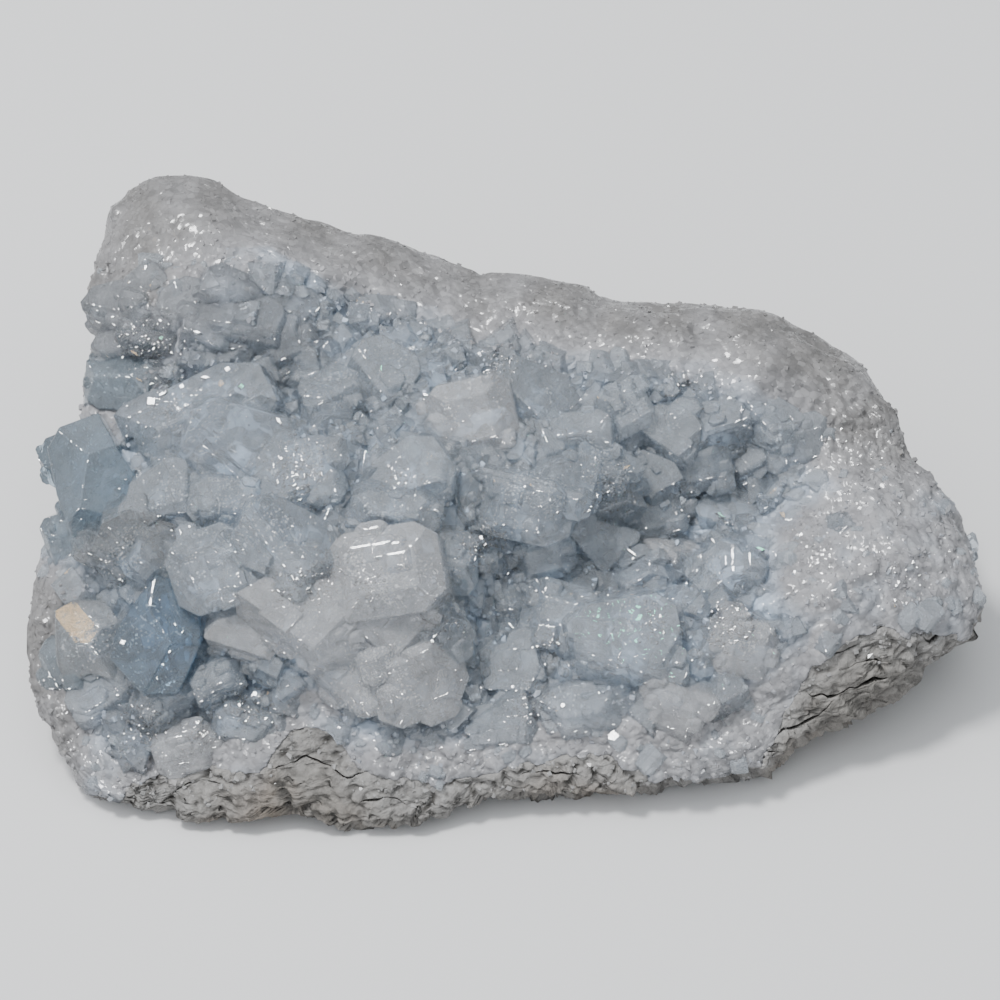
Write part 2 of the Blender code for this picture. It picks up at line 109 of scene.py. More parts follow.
# Where the limestone shows in front below the celestite: the lowest b of the celestite at each a
CELESTITE_EDGE = (
    (-60.0, -46.0), (-45.0, -36.0), (-38.9, -30.8), (-29.4, -28.1), (-25.6, -27.6), (-20.6, -23.2),
    (-17.9, -23.6), (-15.4, -27.4), (-10.5, -28.9), (-6.0, -30.4), (-2.1, -28.4), (1.1, -27.0),
    (10.5, -26.8), (14.7, -27.8), (19.5, -30.6), (24.0, -31.0), (27.0, -27.6), (30.5, -21.0),
    (33.0, -16.0), (37.8, -13.9), (42.0, -13.3), (45.2, -14.4), (49.4, -13.1), (60.0, -12.0),
)

# Swells and hollows of the face: (a, b, height, reach along, reach across, turn in degrees)
SWELLS = (
    (-34.0, 24.0, 6.0, 11.0, 8.0, 0),  # the white knob at the upper left
    (-39.0, 20.5, 1.8, 3.6, 3.4, 0),
    (-31.0, 17.5, 1.6, 4.4, 3.4, 0),
    (-27.0, 22.5, 1.4, 4.0, 3.6, 0),
    (-41.5, 13.0, -5.5, 6.0, 4.0, 0),  # the notch under it
    (-23.0, 12.0, -2.6, 4.5, 3.0, -25),
    (-31.0, 0.0, 6.5, 14.0, 12.0, 0),  # the mound of large crystals
    (-14.0, -9.0, 5.5, 12.0, 9.0, 0),
    (-21.5, -20.5, -2.5, 5.5, 2.4, 0),
    (2.0, -15.5, -3.5, 3.6, 6.0, 20),
    (3.0, 4.0, 4.0, 11.0, 6.0, 8),  # the ledge above the hollow
    (-3.0, 12.0, 1.5, 8.0, 4.0, 0),
    (19.0, -2.5, -9.0, 16.0, 5.0, 24),  # the blue hollow
    (11.5, -14.5, 3.5, 9.0, 7.0, 0),  # the mound in it
    (38.0, -7.0, 6.0, 11.0, 8.0, 12),  # the white lump at the right
    (30.0, 13.0, 2.0, 12.0, 5.0, -15),
    (-38.0, -25.0, -2.5, 8.0, 5.0, 0),
)

# Large crystals: (a, b, rise, wide, high, lean to the right, lean up, spin, form)
LARGE_CRYSTALS = (
    # the left edge
    (-42.0, 2.3, 4.6, 10.0, 13.5, -16, 6, 14, "block"),
    (-47.2, 3.8, 1.6, 4.6, 6.4, -34, 8, 20, "roof"),
    (-41.0, 13.2, 2.6, 8.0, 6.5, -24, 14, 0, "roof"),
    (-45.8, -4.8, 1.8, 5.4, 6.4, -30, -6, 16, "block"),
    (-37.6, -5.8, 3.0, 9.0, 8.0, 8, -14, -20, "wedge"),
    (-42.6, -14.0, 2.6, 8.6, 8.6, -14, -8, 38, "wedge"),
    (-35.4, -13.6, 4.4, 8.4, 12.0, 12, -10, -18, "roof"),
    (-45.6, -17.5, 1.2, 5.4, 6.2, -26, -14, 10, "block"),
    (-41.0, -21.4, 1.6, 7.4, 6.2, -12, -22, 30, "roof"),
    (-35.6, -22.6, 1.6, 6.6, 6.0, 10, -24, -20, "wedge"),
    (-28.8, -19.2, 2.4, 5.6, 5.0, 10, -20, 24, "roof"),
    (-32.4, -27.0, 1.2, 7.0, 5.0, -6, -30, 12, "block"),
    (-27.0, -24.6, 1.2, 6.0, 4.6, 8, -26, -14, "roof"),
    # the mound of large crystals
    (-31.5, 9.2, 4.4, 15.5, 9.0, -8, 14, 26, "roof"),
    (-26.8, 4.6, 4.8, 12.0, 9.6, 10, -8, -16, "wedge"),
    (-20.4, 2.6, 3.6, 9.4, 8.0, 12, 8, 12, "block"),
    (-34.6, 0.0, 3.4, 7.8, 6.8, -12, -10, 34, "wedge"),
    (-28.2, -1.0, 3.0, 8.0, 6.0, 6, -16, -8, "roof"),
    (-30.0, -7.0, 4.2, 9.0, 8.6, -10, 6, 20, "block"),
    (-21.4, -5.0, 4.6, 11.6, 9.4, 8, 10, -26, "wedge"),
    (-12.2, -7.2, 4.6, 12.4, 9.4, -6, 8, 10, "block"),
    (-21.0, -12.6, 4.0, 13.0, 8.4, -8, -14, -6, "wedge"),
    (-5.8, -12.8, 4.6, 5.4, 8.0, 20, 4, 36, "roof"),
    (-4.6, -6.0, 3.0, 5.6, 7.4, 18, 8, 4, "wedge"),
    (-8.0, -18.4, 3.8, 10.4, 8.8, 14, -12, 22, "block"),
    (-15.8, -18.6, 3.2, 9.4, 7.2, -8, -20, -18, "wedge"),
    # above the mound and along the ledge
    (-17.0, 11.6, 1.8, 7.4, 7.2, 10, 12, 24, "roof"),
    (-12.6, 13.4, 1.8, 7.2, 7.6, -8, 6, -30, "wedge"),
    (-9.4, 2.6, 3.0, 8.6, 8.0, -6, 12, 38, "wedge"),
    (-10.8, -1.8, 3.2, 9.4, 4.4, 0, -18, -6, "roof"),
    (-3.2, 8.4, 2.4, 9.4, 8.2, -10, -6, 12, "block"),
    (3.6, 10.4, 2.4, 9.4, 8.2, 8, 8, -20, "wedge"),
    (2.2, -1.2, 4.4, 10.4, 7.0, -8, -14, -12, "block"),
    (7.6, 0.8, 4.2, 8.4, 6.2, 10, -20, 16, "wedge"),
    (10.8, 3.0, 3.4, 6.4, 5.6, 16, -6, -24, "roof"),
    (7.8, 6.8, 2.2, 7.4, 5.6, -12, 10, 6, "roof"),
    (13.0, 9.6, 2.2, 6.0, 5.6, 6, 6, 28, "block"),
    (17.4, 6.6, 2.0, 6.8, 6.2, -10, -12, -12, "wedge"),
    (23.6, 7.4, 2.4, 6.6, 6.4, 12, -10, 18, "roof"),
    (28.4, 8.6, 1.8, 5.6, 5.6, -10, 8, -30, "wedge"),
    (32.0, 5.8, 1.4, 7.6, 6.4, 14, -8, 12, "block"),
    # the hollow and its floor
    (6.2, -8.2, 1.8, 8.0, 6.6, 12, 14, 30, "wedge"),
    (6.0, -12.4, 3.0, 8.6, 8.4, -12, 6, -14, "block"),
    (13.4, -15.0, 3.6, 11.4, 9.4, 6, -6, 8, "wedge"),
    (17.4, -5.4, 1.4, 7.4, 6.4, -8, 14, -24, "roof"),
    (25.0, -1.4, 1.2, 8.0, 6.0, 10, 6, 16, "wedge"),
    (23.4, -8.4, 2.2, 6.2, 7.4, -16, 4, 40, "roof"),
    (25.4, -15.6, 1.6, 7.2, 6.2, 8, -12, -10, "block"),
    (1.0, -18.6, 1.6, 6.6, 7.2, -14, -6, 18, "wedge"),
    (1.8, -11.8, 1.4, 5.8, 5.4, 12, 4, -30, "roof"),
    (8.4, -22.6, 1.4, 8.0, 6.2, -6, -20, 10, "roof"),
    (17.6, -22.4, 1.4, 7.8, 6.2, 8, -18, -22, "block"),
    (0.5, -24.4, 1.2, 6.6, 5.4, -8, -22, 26, "wedge"),
)

# Glassy crystals on the front of the knob and beside it, which the solids leave as lumps
KNOB_CRYSTALS = (
    (-22.6, 16.6, 0.9, 6.4, 5.2, 10, -4, 24, "block"),
    (-21.8, 20.4, 0.7, 5.6, 5.0, 4, 6, -10, "wedge"),
    (-23.4, 13.0, 0.8, 5.4, 4.6, 6, -10, 36, "roof"),
    (-40.4, 15.8, 1.0, 6.0, 4.4, -16, -20, 18, "roof"),
    (-41.0, 20.2, 1.0, 7.0, 5.6, -24, -6, 12, "wedge"),
    (-37.0, 17.6, 1.4, 7.4, 5.4, -6, -16, -14, "block"),
    (-32.8, 20.6, 1.0, 5.8, 5.4, 8, -4, 30, "roof"),
    (-30.6, 17.4, 1.2, 5.4, 5.0, 10, -18, -6, "wedge"),
    (-28.2, 22.0, 0.9, 6.0, 5.0, 14, 4, -24, "roof"),
    (-25.6, 18.0, 1.0, 7.0, 5.6, 8, -10, 16, "wedge"),
    (-37.6, 22.6, 0.7, 5.0, 4.4, -10, 8, 40, "block"),
)

# White crystals that close the gaps of the mound
MOUND_CRYSTALS = (
    (-12.4, -13.2, 3.4, 9.4, 6.0, 2, -16, -12, "wedge"),
    (-17.4, -15.4, 3.2, 8.0, 5.4, -4, -18, 16, "block"),
    (-26.4, -14.8, 2.4, 7.6, 5.4, -4, -26, 8, "wedge"),
)

# Milky crystals on the floor of the hollow and below the dark crystal
FLOOR_CRYSTALS = (
    (4.4, -6.2, 2.2, 6.8, 5.0, -4, -6, 14, "block"),
    (9.8, -5.0, 3.0, 7.4, 5.6, 6, -10, -20, "wedge"),
    (14.4, -8.4, 1.8, 6.0, 5.0, -8, 4, 30, "roof"),
    (17.0, -1.6, 3.4, 6.4, 4.8, 8, -12, 12, "block"),
    (15.6, 2.2, 2.4, 6.6, 5.0, -4, -14, -24, "wedge"),
    (21.2, 3.2, 3.0, 7.2, 5.2, 6, -12, 10, "block"),
    (26.8, 3.8, 1.6, 6.2, 5.0, -8, -10, 32, "roof"),
    (-34.2, -21.0, 2.6, 6.4, 4.6, 2, -20, 34, "roof"),
    (-39.4, -18.6, 1.6, 5.0, 4.4, -10, -12, -14, "wedge"),
    (12.2, -0.8, 3.2, 6.0, 5.0, -4, -14, 20, "roof"),
)

# The piece that each of these further lists belongs to
FURTHER_CRYSTALS = (
    ("knob_crystals", KNOB_CRYSTALS),
    ("white_crystals", MOUND_CRYSTALS),
    ("milky_crystals", FLOOR_CRYSTALS),
)

BED_SINK = 1.5  # between the blue crystals the celestite lies this far below the face
SINK_FADE = 0.25  # over this share of the way in from the outline
BLUE_REACH = (0.9, 0.74)  # blue crystals grow out to this share of the way, at the left and elsewhere
BLUE_LEFT = -20.0  # the left begins here
LEFT_FADE = (-14.0, -26.0)  # and from this a to this one, where the change is soft
WHITE_SPOTS = ((39.0, -6.0, 12.0, 10.0), (-34.0, 25.0, 11.0, 10.0))  # middle and reach: a and b
CRYSTAL_ROOT = 7.0  # how deep a crystal runs on below the face
SEED = 11

# The cuts of each crystal form: toward a and b, how steep in degrees, and where the cut starts as
# a share of the half width. The last two are ranges.
CROWN_CUTS = {
    "block": tuple(
        (a, b, (24, 40), (0.35, 0.6)) for a, b in ((1, 0), (-1, 0), (0, 1), (0, -1))
    ),
    "roof": (
        (0, 1, (26, 38), (0.0, 0.15)), (0, -1, (26, 38), (0.0, 0.15)),
        (1, 0.2, (28, 42), (0.4, 0.6)), (-1, -0.2, (28, 42), (0.4, 0.6)),
    ),
    "wedge": (
        (0.35, 1, (18, 26), (-0.3, 0.0)), (-0.4, -1, (38, 50), (0.2, 0.45)),
        (1, -0.3, (34, 46), (0.4, 0.65)),
    ),
    "shard": (
        (0.3, 1, (25, 40), (-0.2, 0.3)), (-1, -0.4, (25, 40), (0.0, 0.4)),
        (0.8, -0.6, (30, 45), (0.1, 0.4)),
    ),
}
CORNER_CUT = (0.74, 0.86)  # upright corners are cut off at this share of their reach

# Small crystals: how many, smallest, largest, how far apart, whether they stand among the blue
# ones, the share of their size that they rise, how far from a large crystal's middle in shares of
# its width, and whether they grew in patches. The first two lines are as in the solids.
SMALL_CRYSTALS = (
    (48, 3.6, 5.6, 3.8, True, 0.14, 0.42, False),
    (40, 3.0, 4.8, 4.2, False, 0.08, 0.42, False),
    (620, 1.6, 3.8, 1.25, True, 0.12, 0.3, True),
)
SMALL_LEAN = 30.0  # either way
SMALL_HIGH = (0.75, 0.95)  # their height on the face and their length, in shares of their width
SMALL_TALL = 1.1
RIM_LEAN = (0.7, 62.0)  # past this share of the way out they lean outward, up to this angle
FARTHEST_SMALL = 0.92  # share of the way out to the outline
BARE_WHITE = 0.8  # past this share the white ones are left out
THINNEST_UNDER = 1.6  # they need this much celestite to grow from
TRIES = 60
SMALL_BEVEL = 0.06
PATCH_SIZE = 5.5  # small crystals grew nearly parallel over about this far
PATCH_DEGREES = 50  # the leans that the patches differ by
PATCH_STRICT = 0.75  # how much of its own lean a crystal gives up for that of its patch
PATCH_SPIN = 0.06  # and the share of its own spin that it keeps
PATCH_LEAN = 0.9  # the same for the druses, as a shift of their upright direction
PATCH_JITTER = 0.10  # in radians

# Growth steps and edges of the large crystals
STEPS_EACH = 6
STEP_SIZE = (0.16, 0.48)  # in shares of the crystal
STEP_RISE = (0.05, 0.4)
RAY_START = 30.0  # rays that look for a crown start this far out
EDGE_BEVEL = 0.12
CROWN_FACING = 0.15  # facets that face outward less than this are sides
ABOVE_CROWN = 4.0  # an outlined crystal is this much too tall until its facets are cut

# Whiter patches of the face, softer-edged than the rims: (a, b, reach along, reach across, share)
PALE_PATCHES = (
    (38.5, -6.0, 12.5, 9.5, 1.0),  # the white lump at the right
    (-31.0, 30.5, 14.0, 5.0, 1.0),  # the top of the knob
    (-33.0, 21.0, 13.0, 9.0, 0.85),  # and its front
    (-15.5, -11.0, 10.0, 5.0, 0.6),
    (-9.0, -15.0, 4.0, 4.0, 0.4),
    (12.0, 9.5, 6.0, 4.0, 0.5),
    (8.0, -23.0, 16.0, 4.0, 0.7),
)

# Patches that glitter: grains whose facets nearly face halfway to the key light: (a, b, reach)
GLITTER = (
    (-21.0, 3.2, 3.6), (-31.5, -25.2, 2.4), (-19.0, -8.4, 3.2), (33.0, -5.3, 3.4), (11.5, 1.0, 2.6),
    (20.0, 13.6, 3.0), (-10.5, 2.1, 2.0), (-35.0, 10.8, 2.8), (-6.3, -13.0, 2.2), (-37.0, 17.0, 3.5),
    (3.0, -22.0, 3.0), (24.0, -13.0, 3.0), (42.0, -8.5, 3.0), (-2.4, -4.6, 2.0), (-26.0, -22.0, 2.6),
    (-37.5, -24.0, 2.6), (0.0, 14.5, 2.0), (5.0, -14.8, 1.8), (-0.5, -3.6, 1.6), (-14.0, -8.8, 2.0),
    (-22.5, -9.5, 1.8), (16.0, -13.0, 1.6),
)

# Crystals of the face with an outline of their own, by their index in LARGE_CRYSTALS: the outline
# (a, b), the height of the crown, and its facets: (a, b, drop, lean to the right, lean up)
OUTLINED = {
    0: (
        ((-47.3, 5.3), (-46.0, 7.6), (-42.0, 9.1), (-39.7, 5.3), (-37.6, 1.9), (-38.2, -2.1),
         (-39.1, -4.8), (-42.5, -5.0), (-44.5, -3.7), (-46.2, 0.5)),
        4.8,
        ((-40.8, 1.5, 0.0, 12, -4), (-45.4, 3.0, 1.0, -34, 4), (-43.0, 7.3, 1.4, -8, 38),
         (-41.5, -3.2, 1.2, 4, -32)),
    ),
    6: (
        ((-35.2, -7.7), (-32.8, -8.7), (-30.9, -10.8), (-30.7, -14.7), (-32.0, -17.6),
         (-33.2, -20.0), (-36.8, -20.0), (-40.2, -16.3), (-39.5, -13.4), (-37.0, -9.7)),
        4.4,
        ((-36.6, -15.0, 0.0, -12, -8), (-32.8, -11.8, 0.6, 24, 16), (-33.0, -17.6, 1.0, 22, -26),
         (-38.3, -11.6, 1.0, -38, 24)),
    ),
    5: (
        ((-46.2, -11.4), (-44.3, -10.4), (-41.0, -10.4), (-39.0, -13.1), (-40.1, -16.3),
         (-39.4, -18.9), (-42.5, -18.0), (-45.2, -19.6), (-46.0, -16.8)),
        3.4,
        ((-39.9, -15.5, 0.7, 26, -14), (-43.6, -17.0, 1.2, -16, -34), (-41.6, -11.0, 1.1, 6, 36),
         (-45.3, -13.0, 0.9, -32, 4)),
    ),
}
WARM_FACET = (5, -42.1, -13.2, -0.22)  # a facet of crystal 5 that mirrors the warm light

# Cracks of the limestone in front: points (a, b), then how wide they gape
CRACKS = (
    (((38.5, -14.0), (41.2, -12.8), (43.0, -13.2), (44.8, -14.9), (46.5, -13.9), (49.0, -13.2)), 0.55),
    (((30.5, -17.2), (33.4, -15.9), (35.5, -15.8), (38.9, -14.9)), 0.3),
    (((31.8, -19.6), (34.0, -20.6), (36.6, -19.4), (40.4, -18.2)), 0.42),
    (((27.8, -24.7), (30.5, -23.4), (34.7, -21.4)), 0.4),
    (((-23.5, -27.8), (-20.1, -26.6), (-17.9, -27.5), (-15.9, -28.6), (-13.0, -27.4)), 0.35),
    (((-21.5, -24.0), (-18.0, -23.0), (-15.0, -23.8)), 0.28),
    (((-34.0, -30.1), (-31.2, -29.0), (-28.4, -29.9)), 0.3),
    (((-14.6, -31.3), (-12.0, -30.8), (-9.5, -31.8)), 0.28),
    (((2.0, -28.6), (5.0, -28.0), (8.5, -28.5)), 0.25),
    (((36.2, -17.4), (38.8, -16.6), (40.6, -16.9)), 0.25),
    (((24.6, -27.2), (27.2, -26.0), (29.0, -26.1)), 0.25),
)
CRACK_DEPTH = 1.8
CRACK_STEP = 0.3
CRACK_WANDER = ((0.8, 2.4), (0.22, 0.9))  # height and size
CRACK_TAPER = (0.04, 0.6)  # the share of the gape left at the ends, and the power of the curve
CRACK_UNEVEN = (1.5, 1.1, 3.0)  # how much the gape varies, over how far along and across
ABOVE_FACE = 3.0  # cutters start this far in front of the face
SEAM = 0.03  # between the crust and the stone
SPLIT_WANDER = (0.8, 2.6)  # height and size
UNDER_FLOOR = 160.0  # the width of the block that cuts the foot flat

# Lights that the facets mirror, in metres
KEY_PLACE = (-0.20, -0.02, 0.62)
WARM_PLACE = (-0.42, -0.08, 0.46)
COOL_PLACE = (0.30, -0.12, 0.58)
CAMERA_DISTANCE = 0.5
LENS = 171.4  # millimetres, as is the sensor's width
SENSOR = 36
LIGHTS = (  # place, width, watts and colour
    ("key", KEY_PLACE, 0.14, 4.2, (1, 1, 1)),
    ("warm", WARM_PLACE, 0.04, 0.036, (1.0, 0.60, 0.16)),
    ("cool", COOL_PLACE, 0.02, 0.03, (0.25, 1.0, 0.65)),
)
LIGHTS_AIM = Vector((0, 0, 0.02))
FLOOR_SIZE = 3
FLOOR_COLOUR = (0.64, 0.64, 0.64, 1)

# The soft dome over the table: its brightest direction, how squarely a direction has to face
# that from where it brightens to where it is full, and the glow there
DOME_MIDDLE = (-0.30, -0.22, 0.93)
DOME_EDGE = (0.25, 0.95)
DOME_GLOW = (0.38, 1.9)
DOME_COLOUR = (0.93, 0.96, 1.0, 1)

# Single facets that mirror a light into the camera: (a, b, size, light)
GLINTS = (
    (3.2, -12.4, 0.8, WARM_PLACE), (22.3, -12.1, 1.2, WARM_PLACE), (29.9, -1.6, 1.2, WARM_PLACE),
    (13.4, 3.4, 0.8, WARM_PLACE), (-38.3, 15.4, 1.0, WARM_PLACE), (-37.8, 12.6, 0.8, WARM_PLACE),
    (23.1, -1.6, 0.9, COOL_PLACE), (27.3, -5.2, 0.9, COOL_PLACE), (-35.6, 17.0, 0.7, COOL_PLACE),
    (-12.5, 13.8, 0.6, COOL_PLACE), (22.4, -4.3, 0.7, KEY_PLACE), (13.9, -5.6, 1.2, KEY_PLACE),
    (-31.8, 17.6, 0.8, KEY_PLACE), (-36.3, 15.9, 0.5, KEY_PLACE), (-23.2, 8.3, 0.8, KEY_PLACE),
    (6.6, -21.6, 0.6, KEY_PLACE), (-27.4, -21.6, 0.7, KEY_PLACE), (-36.6, 10.3, 1.2, KEY_PLACE),
    (-35.4, 11.1, 0.8, KEY_PLACE), (-30.9, 12.8, 0.9, KEY_PLACE), (-33.4, 11.9, 0.6, KEY_PLACE),
    (-28.6, 13.7, 0.7, KEY_PLACE), (-29.2, 12.2, 0.9, WARM_PLACE), (-27.2, 11.9, 0.7, COOL_PLACE),
    (-2.0, -4.0, 0.6, KEY_PLACE), (-34.1, -13.1, 0.45, KEY_PLACE), (-32.6, -11.8, 0.5, KEY_PLACE),
    (-33.3, -13.9, 0.4, KEY_PLACE), (-34.7, -16.0, 0.5, KEY_PLACE), (-35.4, -17.3, 0.4, KEY_PLACE),
    (-36.0, -18.7, 0.5, KEY_PLACE), (-31.9, -12.4, 0.4, COOL_PLACE), (-8.1, -12.3, 0.9, KEY_PLACE),
    (-6.8, -14.2, 0.8, KEY_PLACE), (-39.6, -15.0, 0.7, KEY_PLACE), (1.6, -7.4, 0.6, COOL_PLACE),
)

# Which crystals are not the common milky kind, by their index in LARGE_CRYSTALS
KINDS = {
    "teal_crystals": (0, 1, 2, 3, 7),
    "dark_crystal": (6,),
    "clear_crystals": (4, 5),
    "white_crystals": (11, 20, 21, 24, 25, 30, 44, 47, 51),
}

# The bare upper rim
BARE_RIM = (0.70, 10.0)  # beyond this share, above this b, the rim shows no small crystals
KNOB_FRONT = 16.0  # how much higher that is on the knob
KNOB_FADE = (-18.0, -24.0)
CALM_RIM = 0.6  # how much lower the fused grains of the rim are
RIM_GRAINS = 0.45  # the share of small grains kept there
LARGE_GRAIN = 1.2  # grains that reach this size are left out there
CALM_SHARE = (0.66, 0.82)  # from and to this share of the way out
CALM_ABOVE = (-2.0, 3.0)  # and over this much b around the foot of the rim
# Painted shade: the celestite is coloured darker along the upper rim and at the left edge, in patches
RIM_SHADE_SHARES = (0.72, 0.90)  # from and to this share of the way out
RIM_SHADE_ABOVE = (-10.0, -4.0)  # and over this much b around the foot of the rim
RIM_SHADE_LEFT = (-42.0, -46.0)  # at the left edge from and to this a
RIM_SHADE_LOW = (-6.0, -10.0)  # and this b
RIM_SHADE_PATCHES = (0.85, 0.5, 4.0)  # middle, height and size

# Where the celestite turns white
BLUE_EDGE = 0.14  # over this share of the way out, from the rim to the blue crystals
SPOT_FADE = (1.0, 1.35)  # from and to this share of a white spot's reach
WHITE_EDGE = (-0.12, 0.08)  # around the reach of the blue crystals, in shares of the way out
WHITE_ABOVE = (6.0, 14.0, 0.10)  # from and to this b the white starts this share further in
PALE_FADE = (1.2, 0.6)  # from and to this share of a pale patch's reach
THIN_CRUST = (5.0, 2.5)  # celestite that looks blue and white over the limestone
WHITE_WANDER = ((0.25, 7, 5.0), (0.15, 9, 2.0))  # height, layer of the noise, and size
WHITENED_STONE = (-6.5, 0.5)  # the crust fades into the limestone from here to here
WHITENED_WANDER = (2.0, 4.0)  # height and size

# Grains: whether on the small crystals too, spacing, smallest and largest, how deep they sit, and
# the shares kept on blue and on white
GRAIN_LAYERS = {
    "pale_druse": (False, 1.4, (1.2, 3.2), (0.25, 0.45), (0.7, 0.06)),
    "fine_druse": (True, 0.95, (0.6, 1.4), (0.2, 0.42), (0.15, 0.02)),
    "rim_druse": (False, 1.0, (0.4, 1.0), (0.36, 0.5), (0.0, 0.30)),
    "sugar_grains": (True, 0.72, (0.25, 0.6), (0.2, 0.45), (0.08, 0.6)),
}
GRAIN_AREA = 0.045  # square metres that have a sample for each square of the spacing
GRAIN_COVER = 1.2  # and this many times as many for good measure
GRAIN_CRUST = 0.4  # the least crust under grains
GRAIN_DEPTH = 6.5  # the deepest ones below the face
TINT_SPREAD = 0.12
OUT_OF_FACE = 0.6  # how much the crowns of a druse turn from the normal to straight out
# The forms of grains and druses, about 1 across
GRAIN_FORMS = 16
GRAIN_SIDES = (0.75, 1.1)
GRAIN_CUTS = 2
GRAIN_CUT_TOWARD = (0.3, 1)
GRAIN_CUT_AT = (0.34, 0.5)
DRUSE_FORMS = 14
DRUSE_WIDE = (0.7, 0.95)
DRUSE_HIGH = (0.6, 0.85)
# Grains on the limestone below the crust
EDGE_GRAINS = (90000, 0.62)  # samples and spacing
EDGE_SIZE = (0.2, 0.4)  # smallest, and how much larger the largest are
EDGE_SUNK = (0.2, 0.45)
EDGE_CRUST = 0.6  # none where the crust is thicker than this
EDGE_DEPTH = 5.0  # none deeper below the face than this
EDGE_LOWEST = 1.2  # and none lower over the floor
EDGE_WANDER = (1.6, 2.5)  # height and size
EDGE_TINT = 0.9
EDGE_GRAIN_REACH = (-4.0, 0.4)  # none and the full share where the crust would be this thick
EDGE_GRAIN_SHARE = 0.6

# What glitters, and the veils inside the crystals
GLITTER_DENSITY = 24  # chips to the square of a patch's reach
GLITTER_SIZE = (0.12, 0.5)
GLITTER_SPREAD = 0.11  # how unevenly they lean
SPARKLES = 700
SPARKLE_SIZE = (0.12, 0.38)
SPARKLE_SPREAD = 0.04
SPARKLE_REACH = (48, 32)
CHIP_SUNK = 0.25  # share of its size that a chip lies below the surface
CHIP_CRUST = 2.0  # the least crust under a chip
CHIP_TINT = 0.35  # how much whiter it is than the face
CHIP_FOOT = 1.3  # how much wider its foot is
EDGES_LIT = 0.5  # how many of the crystals' edges catch the key light
EDGE_GLINT = (0.15, 0.8)  # the length of the slivers
EDGE_SHORTEST = 1.2  # shorter edges have none
SLIVER_SPREAD = 0.03
SLIVER_START = (0.05, 0.7)  # share of the way along the edge
SLIVER_END = 0.95
SLIVER_GAPS = (1.0, 5.0)  # in sliver lengths
VEILS = (3, 0.38)  # veils in a crystal, and their largest flakes
VEILS_WHITE = (6, 0.45)
VEIL_FLAKES = 110
VEIL_REACH = 0.0020  # in metres, as are the next two
VEIL_ROUGHNESS = 0.00012
VEIL_COVER = 0.0002  # the least crystal over a flake
VEIL_BEND = 60  # a veil rises by about this times its reach squared
FLAKE_SMALLEST = 0.10
FLAKE_TILT = 0.25

# Cloudy materials: the colour where they are blue, where they are white, and the size of facets
CLOUDY = {
    "celestite_bed": ((0.45, 0.545, 0.665), (0.266, 0.265, 0.274), 0.6),
    "celestite_grains": ((0.42, 0.50, 0.605), (0.276, 0.275, 0.285)),
    "edge_grains": ((0.30, 0.30, 0.295), (0.27, 0.265, 0.26)),
    "celestite_veils": ((0.70, 0.76, 0.82), (0.84, 0.86, 0.88)),
}
# Painted shade along the rim: a darker grey, a little warm of its own, mixed in by the tint
RIM_SHADE_COLOUR = (0.170, 0.165, 0.162)

# Glassy materials by piece: colour, clearness, height of the waves, the roughest gloss, and for a
# deep colour what is absorbed and how densely
GLASS = {
    "pale_druse": ((0.86, 0.925, 0.99), 0.82),
    "fine_druse": ((0.87, 0.93, 0.985), 0.82),
    "glitter_grains": ((0.95, 0.96, 0.97), 0.9, 0.02, 0.18),
    "edge_glints": ((0.95, 0.96, 0.97), 0.9),
    "small_crystals": ((0.855, 0.925, 0.995), 0.87, 0.12),
    "teal_crystals": ((0.65, 0.75, 0.83), 0.87, 0.1, 0.10, (0.22, 0.48, 0.62), 125),
    "dark_crystal": ((0.60, 0.72, 0.83), 0.90, 0.1, 0.10, (0.18, 0.48, 0.66), 150),
    "clear_crystals": ((0.94, 0.965, 0.985), 0.90, 0.04, 0.10, (0.40, 0.60, 0.70), 20),
    "knob_crystals": ((0.88, 0.935, 0.99), 0.91, 0.12),
    "milky_crystals": ((0.85, 0.925, 1.0), 0.85, 0.12),
    "white_crystals": ((0.96, 0.975, 1.0), 0.79, 0.12),
}
CELESTITE_IOR = 1.62
GRAIN_GLOSS = 0.08  # roughness where there are no waves
FINEST_GLOSS = 0.02
CLOUD_SHADE = 0.86  # how much darker a crystal's colour gets in its clouds
CLOUD_SIZE = 2.8  # across the milky clouds in the crystals
FACET_TILT = 0.6

# Limestone colours
STONE_DARK = (0.150, 0.142, 0.131)
STONE_PALE = (0.262, 0.248, 0.227)
STONE_STAIN = (0.24, 0.19, 0.143)
STONE_WHITE = (0.285, 0.278, 0.268)
STONE_SPECK = (0.09, 0.085, 0.08)
# painted shade, mixed into the limestone's creases
STONE_CREASE_SHADE = (0.05, 0.047, 0.043)

# Detail that only the render has: sizes and heights
ROCK_DETAIL = 8  # icosphere subdivisions
SPLIT_STEP = 1.5
SPLIT_REACH = (70.0, 55.0, 45.0)
CELESTITE_LUMPS = ((4.0, 0.45), (1.9, 0.34), (0.9, 0.18))  # fused grains
STONE_BUMPS = ((2.2, 0.30), (0.9, 0.26))
STONE_CRUMBS = ((3.4, 0.70), (1.5, 0.40))
CRUMB_FLATNESS = 2.0
CRUMB_WARP = (1.5, 0.5)  # size and reach, in crumbs
LUMP_STEEPNESS = (2.4, 2.2)  # of the crumbs and of the fused grains
LUMP_FAN = 60.0  # the grains swell away from a point this far behind the face
LAYER_DIP = 0.35  # how far a layer drops for each millimetre up the face
LAYER_WANDER = (1.5, 7.0)  # in layers, and its size
STRATA = ((3.1, 0.75), (1.3, 0.30))  # thin layers of the limestone: step and height

OUTLINE_ANGLES = [math.atan2(b, a) for a, b in OUTLINE]
OUTLINE_REACHES = [math.hypot(a, b) for a, b in OUTLINE]
EDGE_A, EDGE_B = zip(*CELESTITE_EDGE)


